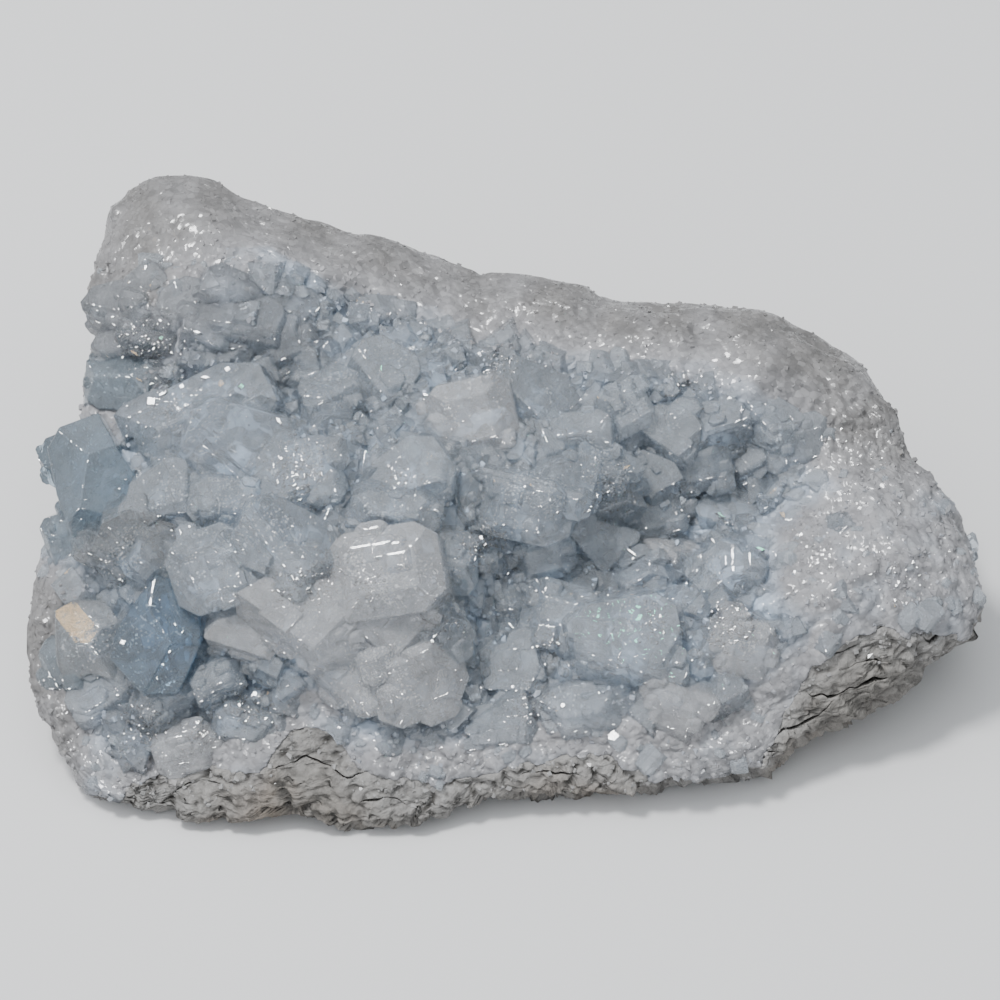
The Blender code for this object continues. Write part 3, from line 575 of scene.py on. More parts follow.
def outline_radius(angle):
    """Distance from the middle of the face to the outline, in the direction of angle."""
    return float(np.interp(angle, OUTLINE_ANGLES, OUTLINE_REACHES, period=2 * math.pi))


def smooth_step(low, high, value):
    """0 before low, 1 past high, and a soft change between. Low may be the larger one."""
    share = min(1.0, max(0.0, (value - low) / (high - low)))
    return share * share * (3 - 2 * share)


def face_noise(a, b, layer, size):
    """Smooth noise over the face, up to about 1 each way, different in each layer."""
    return noise.noise(Vector((a, b, layer)) / size)


def ellipse_share(a, b, at_a, at_b, reach_a, reach_b):
    """0 in the middle of an ellipse on the face, 1 on its line and more outside."""
    return math.hypot((a - at_a) / reach_a, (b - at_b) / reach_b)


def blue_reach(a):
    """How far out the blue crystals reach, as an edge share: further at the left."""
    left = smooth_step(*LEFT_FADE, a)
    return BLUE_REACH[1] + (BLUE_REACH[0] - BLUE_REACH[1]) * left


def rim_foot(a):
    """The lowest b of the bare upper rim, which starts higher on the knob."""
    return BARE_RIM[1] + KNOB_FRONT * smooth_step(*KNOB_FADE, a)


def on_bare_rim(a, b):
    """True on the upper rim, which shows no small crystals."""
    return edge_share(a, b) > BARE_RIM[0] and b > rim_foot(a)


def edge_share(a, b):
    """How far out (a, b) lies: 0 in the middle of the face, 1 on the outline."""
    return min(1.0, math.hypot(a, b) / outline_radius(math.atan2(b, a)))


def rim_depth(b):
    return -FACE_FALL * b - RIM_DROP


def face_depth(a, b):
    """The hollowed face, before it rounds over at the rim."""
    depth = -FACE_FALL * b
    for at_a, at_b, height, along, across, turn in SWELLS:
        c, s = math.cos(math.radians(turn)), math.sin(math.radians(turn))
        u = ((a - at_a) * c + (b - at_b) * s) / along
        v = ((b - at_b) * c - (a - at_a) * s) / across
        depth += height * math.exp(-(u * u + v * v) / 2)
    return depth


def surface_depth(a, b):
    """The front surface over the point (a, b), without its crystals."""
    rim = rim_depth(b)
    return rim + (face_depth(a, b) - rim) * (1 - edge_share(a, b) ** 2) ** RIM_ROUNDING


def crust_thickness(a, b):
    """Celestite thins out to nothing along CELESTITE_EDGE; below that it would be negative."""
    above_edge = b - float(np.interp(a, EDGE_A, EDGE_B))
    return max(-CRUST_THICKNESS, min(CRUST_THICKNESS, CRUST_WEDGE * above_edge))


def is_blue(a, b):
    """True where the face carries blue crystals, and not the sugary white rim."""
    reach = BLUE_REACH[0] if a < BLUE_LEFT else BLUE_REACH[1]
    white = any(ellipse_share(a, b, *spot) < 1 for spot in WHITE_SPOTS)
    return edge_share(a, b) < reach and not white


def blue_share(a, b):
    """The same as a share, from 0 on the rim and lumps to 1 where blue crystals stand."""
    share = smooth_step(0.0, BLUE_EDGE, blue_reach(a) - edge_share(a, b))
    for spot in WHITE_SPOTS:
        share *= smooth_step(*SPOT_FADE, ellipse_share(a, b, *spot))
    return share


def bed_depth(a, b):
    """The front surface again, lumpy, and sunk where blue crystals cover it."""
    share = edge_share(a, b)
    depth = surface_depth(a, b)
    depth += LUMP_HEIGHT * 2 * face_noise(a, b, 0, LUMP_SIZE) * (1 - share**2)
    cover = max(0.0, crust_thickness(a, b) / CRUST_THICKNESS) * blue_share(a, b)
    return depth - BED_SINK * cover * min(1.0, (1 - share) / SINK_FADE)


def back_depth(a, b):
    """The rough outside of the geode, fuller at the left than at the right."""
    swell = BACK_SWELL[0] * math.cos(a / BACK_SWELL[1])
    return -BACK_DEPTH + swell - BACK_SLOPE[0] * a - BACK_SLOPE[1] * b


def camera_place():
    lean = math.radians(FACE_LEAN)
    return FACE_MIDDLE * MM + Vector((0, -math.sin(lean), math.cos(lean))) * CAMERA_DISTANCE


def face_to_world():
    """The matrix that turns face millimetres (a, b, d) into metres over the floor."""
    lean = Matrix.Rotation(math.radians(FACE_LEAN), 4, "X")
    return Matrix.Translation(FACE_MIDDLE * MM) @ lean @ Matrix.Scale(MM, 4)


def rough_vector(point):
    """A smooth random offset, up to about 1 each way."""
    return Vector([noise.noise(point + Vector((31.7 * i, 0, 0))) for i in range(3)])


def body_point(direction, fine):
    """Where a direction from the middle of the rock meets its surface, in face millimetres."""
    reach = outline_radius(math.atan2(direction.y, direction.x))
    a, b, lift = direction.x * reach, direction.y * reach, direction.z
    if lift >= 0:
        d = bed_depth(a, b)
    else:
        rim = rim_depth(b)
        d = rim + (back_depth(a, b) - rim) * (-lift) ** BACK_ROUNDING
    point = Vector((a, b, d))
    phase, size = LEDGE_WANDER
    wave = 2 * math.pi * d / LEDGE_STEP + phase * noise.noise(point / size)
    on_side = max(0.0, SIDES_START - lift) * math.hypot(direction.x, direction.y)
    ledge = Vector((a, b, 0)).normalized() * LEDGE_HEIGHT * math.sin(wave) * on_side
    for size, height in BUMPS:
        ledge += rough_vector(point / size) * height
    return fine(point + ledge, direction, on_side)


def cell_lump(point, steepness):
    """Rounded lumps, one in each cell about 1 across, with sharp valleys between: -0.5 to 0.5."""
    near = noise.voronoi(point)[0]
    return min(1.0, steepness * (near[1] - near[0])) - 0.5


def stone_detail(point, direction, on_side):
    """Thin layers that stand out on the sides, broken into crumbs, and chalky bumps."""
    out = Vector((point.x, point.y, 0)).normalized()
    layers, spread = LAYER_WANDER
    for step, height in STRATA:
        layer = (point.z + LAYER_DIP * point.y) / step + layers * noise.noise(point / spread)
        out_here = layer - math.floor(layer) - 0.5
        point = point + out * height * out_here * on_side * 2
    spread, reach = CRUMB_WARP
    for size, height in STONE_CRUMBS:
        warped = point + rough_vector(point / size / spread) * size * reach
        flat = Vector((warped.x, warped.y, (warped.z + LAYER_DIP * warped.y) * CRUMB_FLATNESS))
        point = point + direction * height * cell_lump(flat / size, LUMP_STEEPNESS[0])
    for size, height in STONE_BUMPS:
        point = point + rough_vector(point / size) * height
    return point


def celestite_detail(point, *_):
    """Fused grains: rounded lumps with sharp valleys between them, low along the upper rim."""
    above_foot = point.y - rim_foot(point.x)
    rim = smooth_step(*CALM_SHARE, edge_share(point.x, point.y)) * smooth_step(*CALM_ABOVE, above_foot)
    for size, height in CELESTITE_LUMPS:
        height *= 1 - CALM_RIM * rim
        lump = cell_lump(point / size, LUMP_STEEPNESS[1])
        out = Vector((point.x / LUMP_FAN, point.y / LUMP_FAN, 1)).normalized()
        point = point + out * height * lump
    return point


def cut_away(bm, point, normal):
    """Slices a closed bmesh by a plane, removes what lies beyond and closes the cut."""
    geometry = bm.verts[:] + bm.edges[:] + bm.faces[:]
    cut = bmesh.ops.bisect_plane(
        bm, geom=geometry, plane_co=point, plane_no=normal, clear_outer=True
    )
    edges = [e for e in cut["geom_cut"] if isinstance(e, bmesh.types.BMEdge)]
    if edges:
        bmesh.ops.contextual_create(bm, geom=edges)


def mesh_from(bm, name, matrix):
    """Turns the bmesh into mesh data, with its normals out, and frees it."""
    bmesh.ops.recalc_face_normals(bm, faces=bm.faces)
    bm.transform(matrix)
    mesh = bpy.data.meshes.new(name)
    bm.to_mesh(mesh)
    bm.free()
    return mesh


def rock_mesh(name, fine):
    """The whole specimen without its crystals: a shaped icosphere."""
    bm = bmesh.new()
    bmesh.ops.create_icosphere(bm, subdivisions=ROCK_DETAIL, radius=1)
    for vert in bm.verts:
        vert.co = body_point(vert.co.normalized(), fine)
    return mesh_from(bm, name, face_to_world())


def block_above_split(name, raise_by):
    """A block whose underside is the surface between limestone and celestite."""
    half_a, half_b, top = SPLIT_REACH
    bm = bmesh.new()
    bmesh.ops.create_grid(
        bm,
        x_segments=int(2 * half_a / SPLIT_STEP),
        y_segments=int(2 * half_b / SPLIT_STEP),
        size=1,
    )
    for vert in bm.verts:
        a, b = vert.co.x * half_a, vert.co.y * half_b
        wander = SPLIT_WANDER[0] * face_noise(a, b, 3, SPLIT_WANDER[1])
        vert.co = (a, b, surface_depth(a, b) - crust_thickness(a, b) + wander + raise_by)
    bmesh.ops.triangulate(bm, faces=bm.faces, quad_method="FIXED")
    rim_edges = [e for e in bm.edges if e.is_boundary]
    walls = bmesh.ops.extrude_edge_only(bm, edges=rim_edges)["geom"]
    for item in walls:
        if isinstance(item, bmesh.types.BMVert):
            item.co.z = top
    lid = [e for e in walls if isinstance(e, bmesh.types.BMEdge) and e.is_boundary]
    bmesh.ops.contextual_create(bm, geom=lid)
    return mesh_from(bm, name, face_to_world())


def block_under_floor(name):
    bm = bmesh.new()
    bmesh.ops.create_cube(bm, size=UNDER_FLOOR)
    bmesh.ops.translate(bm, vec=(0, 0, -UNDER_FLOOR / 2), verts=bm.verts)
    return mesh_from(bm, name, Matrix.Scale(MM, 4))


def crystal_bmesh(wide, high, tall, form, chance):
    """One celestite crystal, its crown at zero and its root below, as in the solids."""
    bm = bmesh.new()
    bmesh.ops.create_cube(bm, size=1)
    bmesh.ops.scale(bm, vec=(wide, high, tall), verts=bm.verts)
    bmesh.ops.translate(bm, vec=(0, 0, -tall / 2), verts=bm.verts)
    for toward_a, toward_b, steep, level in CROWN_CUTS[form]:
        fall = math.radians(chance.uniform(*steep))
        across = Vector((toward_a * wide, toward_b * high, 0))
        normal = across.normalized() * math.sin(fall) + Vector((0, 0, math.cos(fall)))
        cut_away(bm, across / 2 * chance.uniform(*level), normal)
    if form != "shard":
        for side_a, side_b in ((1, 1), (1, -1), (-1, 1), (-1, -1)):
            corner = Vector((side_a * high, side_b * wide, 0)).normalized()
            reach = abs(corner.x) * wide / 2 + abs(corner.y) * high / 2
            cut_away(bm, corner * reach * chance.uniform(*CORNER_CUT), corner)
    return bm


def outlined_crystal(outline, rise, facets):
    """A crystal with a given outline, in face millimetres, its crown cut to facets."""
    middle_a = sum(a for a, _ in outline) / len(outline)
    middle_b = sum(b for _, b in outline) / len(outline)
    top = surface_depth(middle_a, middle_b) + rise
    bm = bmesh.new()
    crown = bm.faces.new([bm.verts.new((a, b, top + ABOVE_CROWN)) for a, b in outline])
    walls = bmesh.ops.extrude_face_region(bm, geom=[crown], use_keep_orig=True)["geom"]
    lower = [item for item in walls if isinstance(item, bmesh.types.BMVert)]
    bmesh.ops.translate(bm, vec=(0, 0, -ABOVE_CROWN - rise - CRYSTAL_ROOT), verts=lower)
    bmesh.ops.recalc_face_normals(bm, faces=bm.faces)
    for a, b, drop, lean_right, lean_up in facets:
        slope = (math.tan(math.radians(lean_right)), math.tan(math.radians(lean_up)), 1)
        cut_away(bm, Vector((a, b, top - drop)), Vector(slope).normalized())
    return bm


def mirror_normal(point, light):
    """The direction of a facet at the world point that mirrors the light into the camera."""
    to_camera = (camera_place() - point).normalized()
    return (to_camera + (Vector(light) - point).normalized()).normalized()


def mirror_lean(a, b, light):
    """The leans to the right and up of such a facet on the face."""
    point = face_to_world() @ Vector((a, b, surface_depth(a, b)))
    normal = Matrix.Rotation(-math.radians(FACE_LEAN), 3, "X") @ mirror_normal(point, light)
    return math.degrees(math.atan(normal.x / normal.z)), math.degrees(math.atan(normal.y / normal.z))


def crystal_place(a, b, depth, lean_right, lean_up, spin):
    """The matrix that stands a crystal's crown at a depth of the face."""
    turn = Euler(
        (math.radians(-lean_up), math.radians(lean_right), math.radians(spin)), "XYZ"
    )
    return face_to_world() @ Matrix.Translation((a, b, depth)) @ turn.to_matrix().to_4x4()


def bevel_edges(bm, width):
    """Takes the sharpness off the edges, so that they catch the light."""
    bmesh.ops.bevel(
        bm, geom=bm.edges[:], offset=width, segments=1, affect="EDGES", clamp_overlap=True
    )


HELPERS = bpy.data.collections.new("helpers")
bpy.context.scene.collection.children.link(HELPERS)


def helper_object(mesh):
    obj = bpy.data.objects.new(mesh.name, mesh)
    HELPERS.objects.link(obj)
    return obj


def collection_of(name, meshes):
    group = bpy.data.collections.new(name)
    HELPERS.children.link(group)
    for mesh in meshes:
        group.objects.link(bpy.data.objects.new(mesh.name, mesh))
    return group


def boolean_mesh(name, mesh, steps):
    """The mesh after Booleans with objects or whole collections: steps of (operation, other)."""
    obj = helper_object(mesh)
    for operation, other in steps:
        boolean = obj.modifiers.new(operation.title(), "BOOLEAN")
        boolean.operation = operation
        boolean.solver = "MANIFOLD"
        if isinstance(other, bpy.types.Collection):
            boolean.operand_type = "COLLECTION"
            boolean.collection = other
        else:
            boolean.object = other
    bpy.context.view_layer.update()
    graph = bpy.context.evaluated_depsgraph_get()
    made = bpy.data.meshes.new_from_object(obj.evaluated_get(graph))
    bpy.data.objects.remove(obj)
    made.name = name
    made.materials.clear()
    return made


def union_of(name, meshes, above_gap):
    """One closed surface around all the meshes, kept to the celestite's side of the gap."""
    steps = [("INTERSECT", above_gap)]
    if len(meshes) > 1:
        steps.insert(0, ("UNION", collection_of(name + "_parts", meshes[1:])))
    return boolean_mesh(name, meshes[0], steps)


# Limestone


def crack_mesh(index, points, gape):
    """A thin wandering wedge that cuts a crack into the front of the limestone."""
    lengths = [math.dist(p, q) for p, q in zip(points, points[1:])]
    ends = np.concatenate([[0], np.cumsum(lengths)])
    count = max(6, int(ends[-1] / CRACK_STEP))
    rows = []
    bm = bmesh.new()
    for step in range(count + 1):
        share = step / count
        a = float(np.interp(share * ends[-1], ends, [p[0] for p in points]))
        b = float(np.interp(share * ends[-1], ends, [p[1] for p in points]))
        for height, size in CRACK_WANDER:
            b += height * noise.noise(Vector((a / size, b / size, index)))
        half = gape * (CRACK_TAPER[0] + math.sin(math.pi * share) ** CRACK_TAPER[1])
        uneven, along, across = CRACK_UNEVEN
        half *= 1 + uneven * noise.noise(Vector((a / along, b / across, index + 0.5)))
        d = surface_depth(a, b)
        rows.append([bm.verts.new(p) for p in (
            (a, b + half, d + ABOVE_FACE), (a, b - half, d + ABOVE_FACE),
            (a, b + half * 0.2, d - CRACK_DEPTH),
        )])
    for row, after in zip(rows, rows[1:]):
        for side in range(3):
            other = (side + 1) % 3
            bm.faces.new((row[side], row[other], after[other], after[side]))
    bm.faces.new(rows[0])
    bm.faces.new(reversed(rows[-1]))
    return mesh_from(bm, f"crack_{index}", face_to_world())


# Crystals


def growth_steps(bm, count, chance):
    """Smaller copies of the crystal on its own crown, all with parallel faces."""
    tree = BVHTree.FromBMesh(bm)
    reach_a = max(v.co.x for v in bm.verts)
    reach_b = max(v.co.y for v in bm.verts)
    steps = []
    for _ in range(count):
        start = Vector((
            chance.uniform(-reach_a, reach_a), chance.uniform(-reach_b, reach_b), RAY_START
        ))
        hit = tree.ray_cast(start, Vector((0, 0, -1)))[0]
        size = chance.uniform(*STEP_SIZE)
        if hit is None:
            continue
        step = bm.copy()
        bmesh.ops.scale(step, vec=(size, size, size), verts=step.verts)
        move = hit + Vector((0, 0, chance.uniform(*STEP_RISE)))
        bmesh.ops.translate(step, vec=move, verts=step.verts)
        steps.append(step)
    return steps


def crown_edges(bm, place):
    """The edges between the facets of a crown, as pairs of world points."""
    bmesh.ops.recalc_face_normals(bm, faces=bm.faces)
    return [
        tuple(place @ vert.co for vert in edge.verts)
        for edge in bm.edges
        if all(face.normal.z > CROWN_FACING for face in edge.link_faces)
    ]


def large_crystal_meshes(listed, chance, detail_chance, edges):
    """The meshes of each large crystal: itself and its growth steps. Adds their edges to edges."""
    crystals = []
    for index, crystal in enumerate(listed):
        a, b, rise, wide, high, lean_right, lean_up, spin, form = crystal
        place = crystal_place(a, b, surface_depth(a, b) + rise, lean_right, lean_up, spin)
        bm = crystal_bmesh(wide, high, rise + CRYSTAL_ROOT, form, chance)
        if index in OUTLINED and listed is LARGE_CRYSTALS:
            bm.free()  # made all the same, to keep the draws of the others
            outline, rise, facets = OUTLINED[index]
            if index == WARM_FACET[0]:
                facets += ((*WARM_FACET[1:], *mirror_lean(*WARM_FACET[1:3], WARM_PLACE)),)
            bm, place = outlined_crystal(outline, rise, facets), face_to_world()
            parts = [bm]
        else:
            parts = [bm] + growth_steps(bm, STEPS_EACH, detail_chance)
        for part in parts:
            edges += crown_edges(part, place)
            bevel_edges(part, EDGE_BEVEL)
        crystals.append([
            mesh_from(part, f"crystal_{index}_{n}", place) for n, part in enumerate(parts)
        ])
    return crystals


def clear_of_large(a, b, share):
    return all(
        math.hypot(a - crystal[0], b - crystal[1]) > share * max(crystal[3], crystal[4])
        for crystal in LARGE_CRYSTALS
    )


def small_crystal_meshes(chance, taken, wanted):
    """Small crystals where there is room for them, bare along the rim. Adds to taken."""
    count, smallest, largest, spacing, blue, rise, clearance, in_patches = wanted
    meshes = []
    for _ in range(count * TRIES):
        if len(meshes) == count:
            break
        angle = chance.uniform(-math.pi, math.pi)
        share = math.sqrt(chance.random()) * FARTHEST_SMALL
        reach = outline_radius(angle) * share
        a, b = reach * math.cos(angle), reach * math.sin(angle)
        near = any(math.hypot(a - x, b - y) < spacing for x, y in taken)
        if near or crust_thickness(a, b) < THINNEST_UNDER or is_blue(a, b) != blue:
            continue
        if not clear_of_large(a, b, clearance):
            continue
        size = chance.uniform(smallest, largest)
        outward = RIM_LEAN[1] * max(0.0, share - RIM_LEAN[0]) / (1 - RIM_LEAN[0])
        lean_right = chance.uniform(-SMALL_LEAN, SMALL_LEAN) + outward * math.cos(angle)
        lean_up = chance.uniform(-SMALL_LEAN, SMALL_LEAN) + outward * math.sin(angle)
        depth = surface_depth(a, b) + size * rise
        spin = chance.uniform(0, 180)
        if in_patches:
            patch = patch_numbers(Vector((a, b, 0)), PATCH_SIZE)
            own_right = lean_right - outward * math.cos(angle)
            own_up = lean_up - outward * math.sin(angle)
            lean_right += (patch[0] - 0.5) * PATCH_DEGREES - own_right * PATCH_STRICT
            lean_up += (patch[1] - 0.5) * PATCH_DEGREES - own_up * PATCH_STRICT
            spin = patch[2] * 180 + spin * PATCH_SPIN
        place = crystal_place(a, b, depth, lean_right, lean_up, spin)
        high = size * chance.uniform(*SMALL_HIGH)
        bm = crystal_bmesh(size, high, size * SMALL_TALL, "shard", chance)
        bevel_edges(bm, SMALL_BEVEL)
        taken.append((a, b))
        if on_bare_rim(a, b) or (share > BARE_WHITE and not blue):
            count -= 1
            bm.free()
        else:
            meshes.append(mesh_from(bm, f"small_{len(taken)}", place))
    return meshes


# Grains


def form_from(bm):
    """The points and triangles of a bmesh, which is freed."""
    bmesh.ops.triangulate(bm, faces=bm.faces)
    bm.verts.index_update()
    points = np.array([v.co for v in bm.verts])
    faces = np.array([[v.index for v in f.verts] for f in bm.faces])
    bm.free()
    return points, faces


def grain_form(chance):
    """A small convex shape about 1 across: a cube with corners cut off at random."""
    bm = bmesh.new()
    bmesh.ops.create_cube(bm, size=1)
    size = [chance.uniform(*GRAIN_SIDES) for _ in range(3)]
    bmesh.ops.scale(bm, vec=size, verts=bm.verts)
    for _ in range(GRAIN_CUTS):
        toward = [chance.choice((-1, 1)) * chance.uniform(*GRAIN_CUT_TOWARD) for _ in range(3)]
        normal = Vector(toward)
        normal.normalize()
        cut_away(bm, normal * chance.uniform(*GRAIN_CUT_AT), normal)
    return form_from(bm)


def druse_form(chance):
    """A small crystal about 1 across, of the same forms as the large ones, about its middle."""
    form = chance.choice(("roof", "wedge", "block"))
    wide, high = chance.uniform(*DRUSE_WIDE), chance.uniform(*DRUSE_HIGH)
    bm = crystal_bmesh(wide, high, 1.0, form, chance)
    bmesh.ops.translate(bm, vec=(0, 0, 0.5), verts=bm.verts)
    return form_from(bm)


def random_turns(count, numbers):
    """Uniform random rotation matrices, from random unit quaternions."""
    q = numbers.normal(size=(count, 4))
    w, x, y, z = (q / np.linalg.norm(q, axis=1, keepdims=True)).T
    rows = (
        (1 - 2 * (y * y + z * z), 2 * (x * y - z * w), 2 * (x * z + y * w)),
        (2 * (x * y + z * w), 1 - 2 * (x * x + z * z), 2 * (y * z - x * w)),
        (2 * (x * z - y * w), 2 * (y * z + x * w), 1 - 2 * (x * x + y * y)),
    )
    return np.array(rows).transpose(2, 0, 1)


def patch_numbers(point, size):
    """Three numbers from 0 to 1 that all points of one patch of the face share."""
    home = noise.voronoi(point / size)[1][0]
    return noise.cell_vector(home * 61.7)


def growth_turns(points, normals, numbers):
    """Crowns that point out of the surface, nearly parallel where they grew in one patch."""
    out_of_face = face_to_world().to_3x3() @ Vector((0, 0, 1 / MM))
    turns = []
    jitters = numbers.normal(0, PATCH_JITTER, (len(points), 3))
    for point, normal, jitter in zip(face_points(points), normals, jitters):
        lean_a, lean_b, spin = patch_numbers(Vector(point), PATCH_SIZE)
        axis = Vector(normal) + out_of_face * OUT_OF_FACE
        axis += Vector((lean_a - 0.5, lean_b - 0.5, spin - 0.5)) * PATCH_LEAN
        stand = axis.to_track_quat("Z", "Y").to_matrix()
        turn = Matrix.Rotation(spin * math.pi + jitter[2] * 2, 3, "Z")
        tip = Euler((jitter[0], jitter[1], 0)).to_matrix()
        turns.append(stand @ tip @ turn)
    return np.array(turns)


def points_of(mesh):
    """The points of a mesh, a row for each."""
    points = np.empty(len(mesh.vertices) * 3, np.float32)
    mesh.vertices.foreach_get("co", points)
    return points.reshape(-1, 3).astype(float)


def surface_samples(meshes, count, numbers):
    """Points spread evenly over the meshes, each with the normal there: arrays in metres."""
    corners = []
    for mesh in meshes:
        mesh.calc_loop_triangles()
        triangles = np.empty(len(mesh.loop_triangles) * 3, np.int32)
        mesh.loop_triangles.foreach_get("vertices", triangles)
        corners.append(points_of(mesh)[triangles.reshape(-1, 3)])
    corners = np.concatenate(corners)
    across = np.cross(corners[:, 1] - corners[:, 0], corners[:, 2] - corners[:, 0])
    areas = np.linalg.norm(across, axis=1)
    picked = numbers.choice(len(areas), size=count, p=areas / areas.sum())
    u, v = numbers.random((2, count, 1))
    flip = u + v > 1
    u, v = np.where(flip, 1 - u, u), np.where(flip, 1 - v, v)
    tri = corners[picked]
    points = tri[:, 0] + u * (tri[:, 1] - tri[:, 0]) + v * (tri[:, 2] - tri[:, 0])
    return points, across[picked] / areas[picked][:, None]


def sites_on(meshes, count, spacing, numbers):
    """Samples that keep about this far apart, their normals, and a random number for each."""
    points, normals = surface_samples(meshes, count, numbers)
    cells = np.floor(points / (spacing * MM)).astype(np.int64)
    keep = np.unique(cells, axis=0, return_index=True)[1]
    return points[keep], normals[keep], numbers.random(len(keep))


def sunk_grains(points, normals, smallest, span, sunk, numbers):
    """Sizes of grains, mostly small, and their middles a share of that below the surface."""
    sizes = (smallest + span * numbers.random(len(points)) ** 2) * MM
    return points - normals * (sizes * numbers.uniform(*sunk, len(points)))[:, None], sizes


def columns(sites):
    """The points, sizes, turns and tints of a list of sites, as four arrays."""
    return [np.array(column) for column in zip(*sites)]


def tilt_and_spin(spread, numbers):
    """A small random tilt and a random spin about the normal."""
    tilt = Euler(numbers.normal(0, spread, 3)).to_matrix()
    return tilt, Matrix.Rotation(numbers.uniform(0, 6.28), 3, "Z")


def scattered_mesh(name, points, sizes, turns, tints, forms, numbers):
    """One mesh with a grain at each point, and its tint on its points."""
    all_points, all_faces, all_tints, offset = [], [], [], 0
    kinds = numbers.integers(len(forms), size=len(points))
    for kind, (shape, faces) in enumerate(forms):
        here = np.nonzero(kinds == kind)[0]
        placed = np.einsum("nij,vj->nvi", turns[here], shape) * sizes[here, None, None]
        placed += points[here, None, :]
        index = faces[None] + (np.arange(len(here)) * len(shape))[:, None, None] + offset
        all_points.append(placed.reshape(-1, 3))
        all_faces.append(index.reshape(-1, 3))
        all_tints.append(np.repeat(tints[here], len(shape)))
        offset += len(here) * len(shape)
    mesh = bpy.data.meshes.new(name)
    mesh.from_pydata(np.concatenate(all_points), [], np.concatenate(all_faces))
    mesh.update()
    set_tint(mesh, np.concatenate(all_tints))
    return mesh


def set_tint(mesh, values):
    """Keeps a number at each point of the mesh: 0 blue, 1 white, and up to 2 white darkened by painted
    shade along the rim.
    """
    mesh.attributes.new("tint", "FLOAT", "POINT").data.foreach_set("value", values)


def white_share(a, b):
    """0 among the blue crystals and 1 on the sugary rims and lumps, with soft changes."""
    low, high, further_in = WHITE_ABOVE
    reach = blue_reach(a) - further_in * smooth_step(low, high, b)
    share = smooth_step(reach + WHITE_EDGE[0], reach + WHITE_EDGE[1], edge_share(a, b))
    for *patch, most in PALE_PATCHES:
        share = max(share, most * smooth_step(*PALE_FADE, ellipse_share(a, b, *patch)))
    share = max(share, smooth_step(*THIN_CRUST, crust_thickness(a, b)))
    share += sum(height * face_noise(a, b, layer, size) for height, layer, size in WHITE_WANDER)
    return min(1.0, max(0.0, share))


def rim_shade_share(a, b):
    """How much painted shade darkens the celestite: more along the upper rim and the left edge, in
    patches.
    """
    upper = smooth_step(*RIM_SHADE_ABOVE, b - rim_foot(a))
    left = smooth_step(*RIM_SHADE_LEFT, a) * smooth_step(*RIM_SHADE_LOW, b)
    middle, height, size = RIM_SHADE_PATCHES
    patches = min(1.0, middle + height * face_noise(a, b, 5, size))
    return smooth_step(*RIM_SHADE_SHARES, edge_share(a, b)) * max(upper, left) * patches


def whitened_share(a, b):
    """How white the limestone is: the crust fades into it over a few millimetres."""
    wander = WHITENED_WANDER[0] * face_noise(a, b, 13, WHITENED_WANDER[1])
    return smooth_step(*WHITENED_STONE, crust_thickness(a, b) + wander)


def face_points(points):
    """World points in metres, as face millimetres."""
    inverse = np.array(face_to_world().inverted())
    return points @ inverse[:3, :3].T + inverse[:3, 3]


def grain_layer(meshes, layer, ordered, numbers):
    """Grains on the outside of the celestite: their points, sizes, turns and tints."""
    _, spacing, (smallest, largest), sunk, (on_blue, on_white) = layer
    count = int(GRAIN_AREA / (spacing * MM) ** 2 * GRAIN_COVER)
    points, normals, draws = sites_on(meshes, count, spacing, numbers)
    kept, whites = [], []
    for index, (a, b, d) in enumerate(face_points(points)):
        low = points[index][2] < largest * MM
        if low or crust_thickness(a, b) < GRAIN_CRUST or d < surface_depth(a, b) - GRAIN_DEPTH:
            continue
        white = white_share(a, b)
        wanted = on_blue + (on_white - on_blue) * white
        if on_bare_rim(a, b):
            wanted *= RIM_GRAINS if largest < LARGE_GRAIN else 0.0
        if draws[index] < wanted:
            kept.append(index)
            whites.append(white)
    normals = normals[kept]
    points, sizes = sunk_grains(
        points[kept], normals, smallest, largest - smallest, sunk, numbers
    )
    tints = np.clip(np.array(whites) + numbers.normal(0, TINT_SPREAD, len(points)), 0, 1)
    # painted shade along the rim, carried on in the tint
    tints += [rim_shade_share(a, b) for a, b, _ in face_points(points)]
    if ordered:
        turns = growth_turns(points, normals, numbers)
    else:
        turns = random_turns(len(points), numbers)
    return points, sizes, turns, tints


def edge_grains(rock, numbers):
    """Grains of celestite on the limestone, fewer the further below the crust."""
    points, normals, draws = sites_on([rock], *EDGE_GRAINS, numbers)
    kept = []
    for index, (a, b, d) in enumerate(face_points(points)):
        crust = crust_thickness(a, b)
        low = points[index][2] < EDGE_LOWEST * MM
        if low or crust > EDGE_CRUST or d < surface_depth(a, b) - EDGE_DEPTH:
            continue
        crust += EDGE_WANDER[0] * face_noise(a, b, 21, EDGE_WANDER[1])
        if draws[index] < EDGE_GRAIN_SHARE * smooth_step(*EDGE_GRAIN_REACH, crust):
            kept.append(index)
    points, sizes = sunk_grains(points[kept], normals[kept], *EDGE_SIZE, EDGE_SUNK, numbers)
    tints = np.clip(numbers.normal(EDGE_TINT, TINT_SPREAD, len(points)), 0, 1)
    return points, sizes, random_turns(len(points), numbers), tints


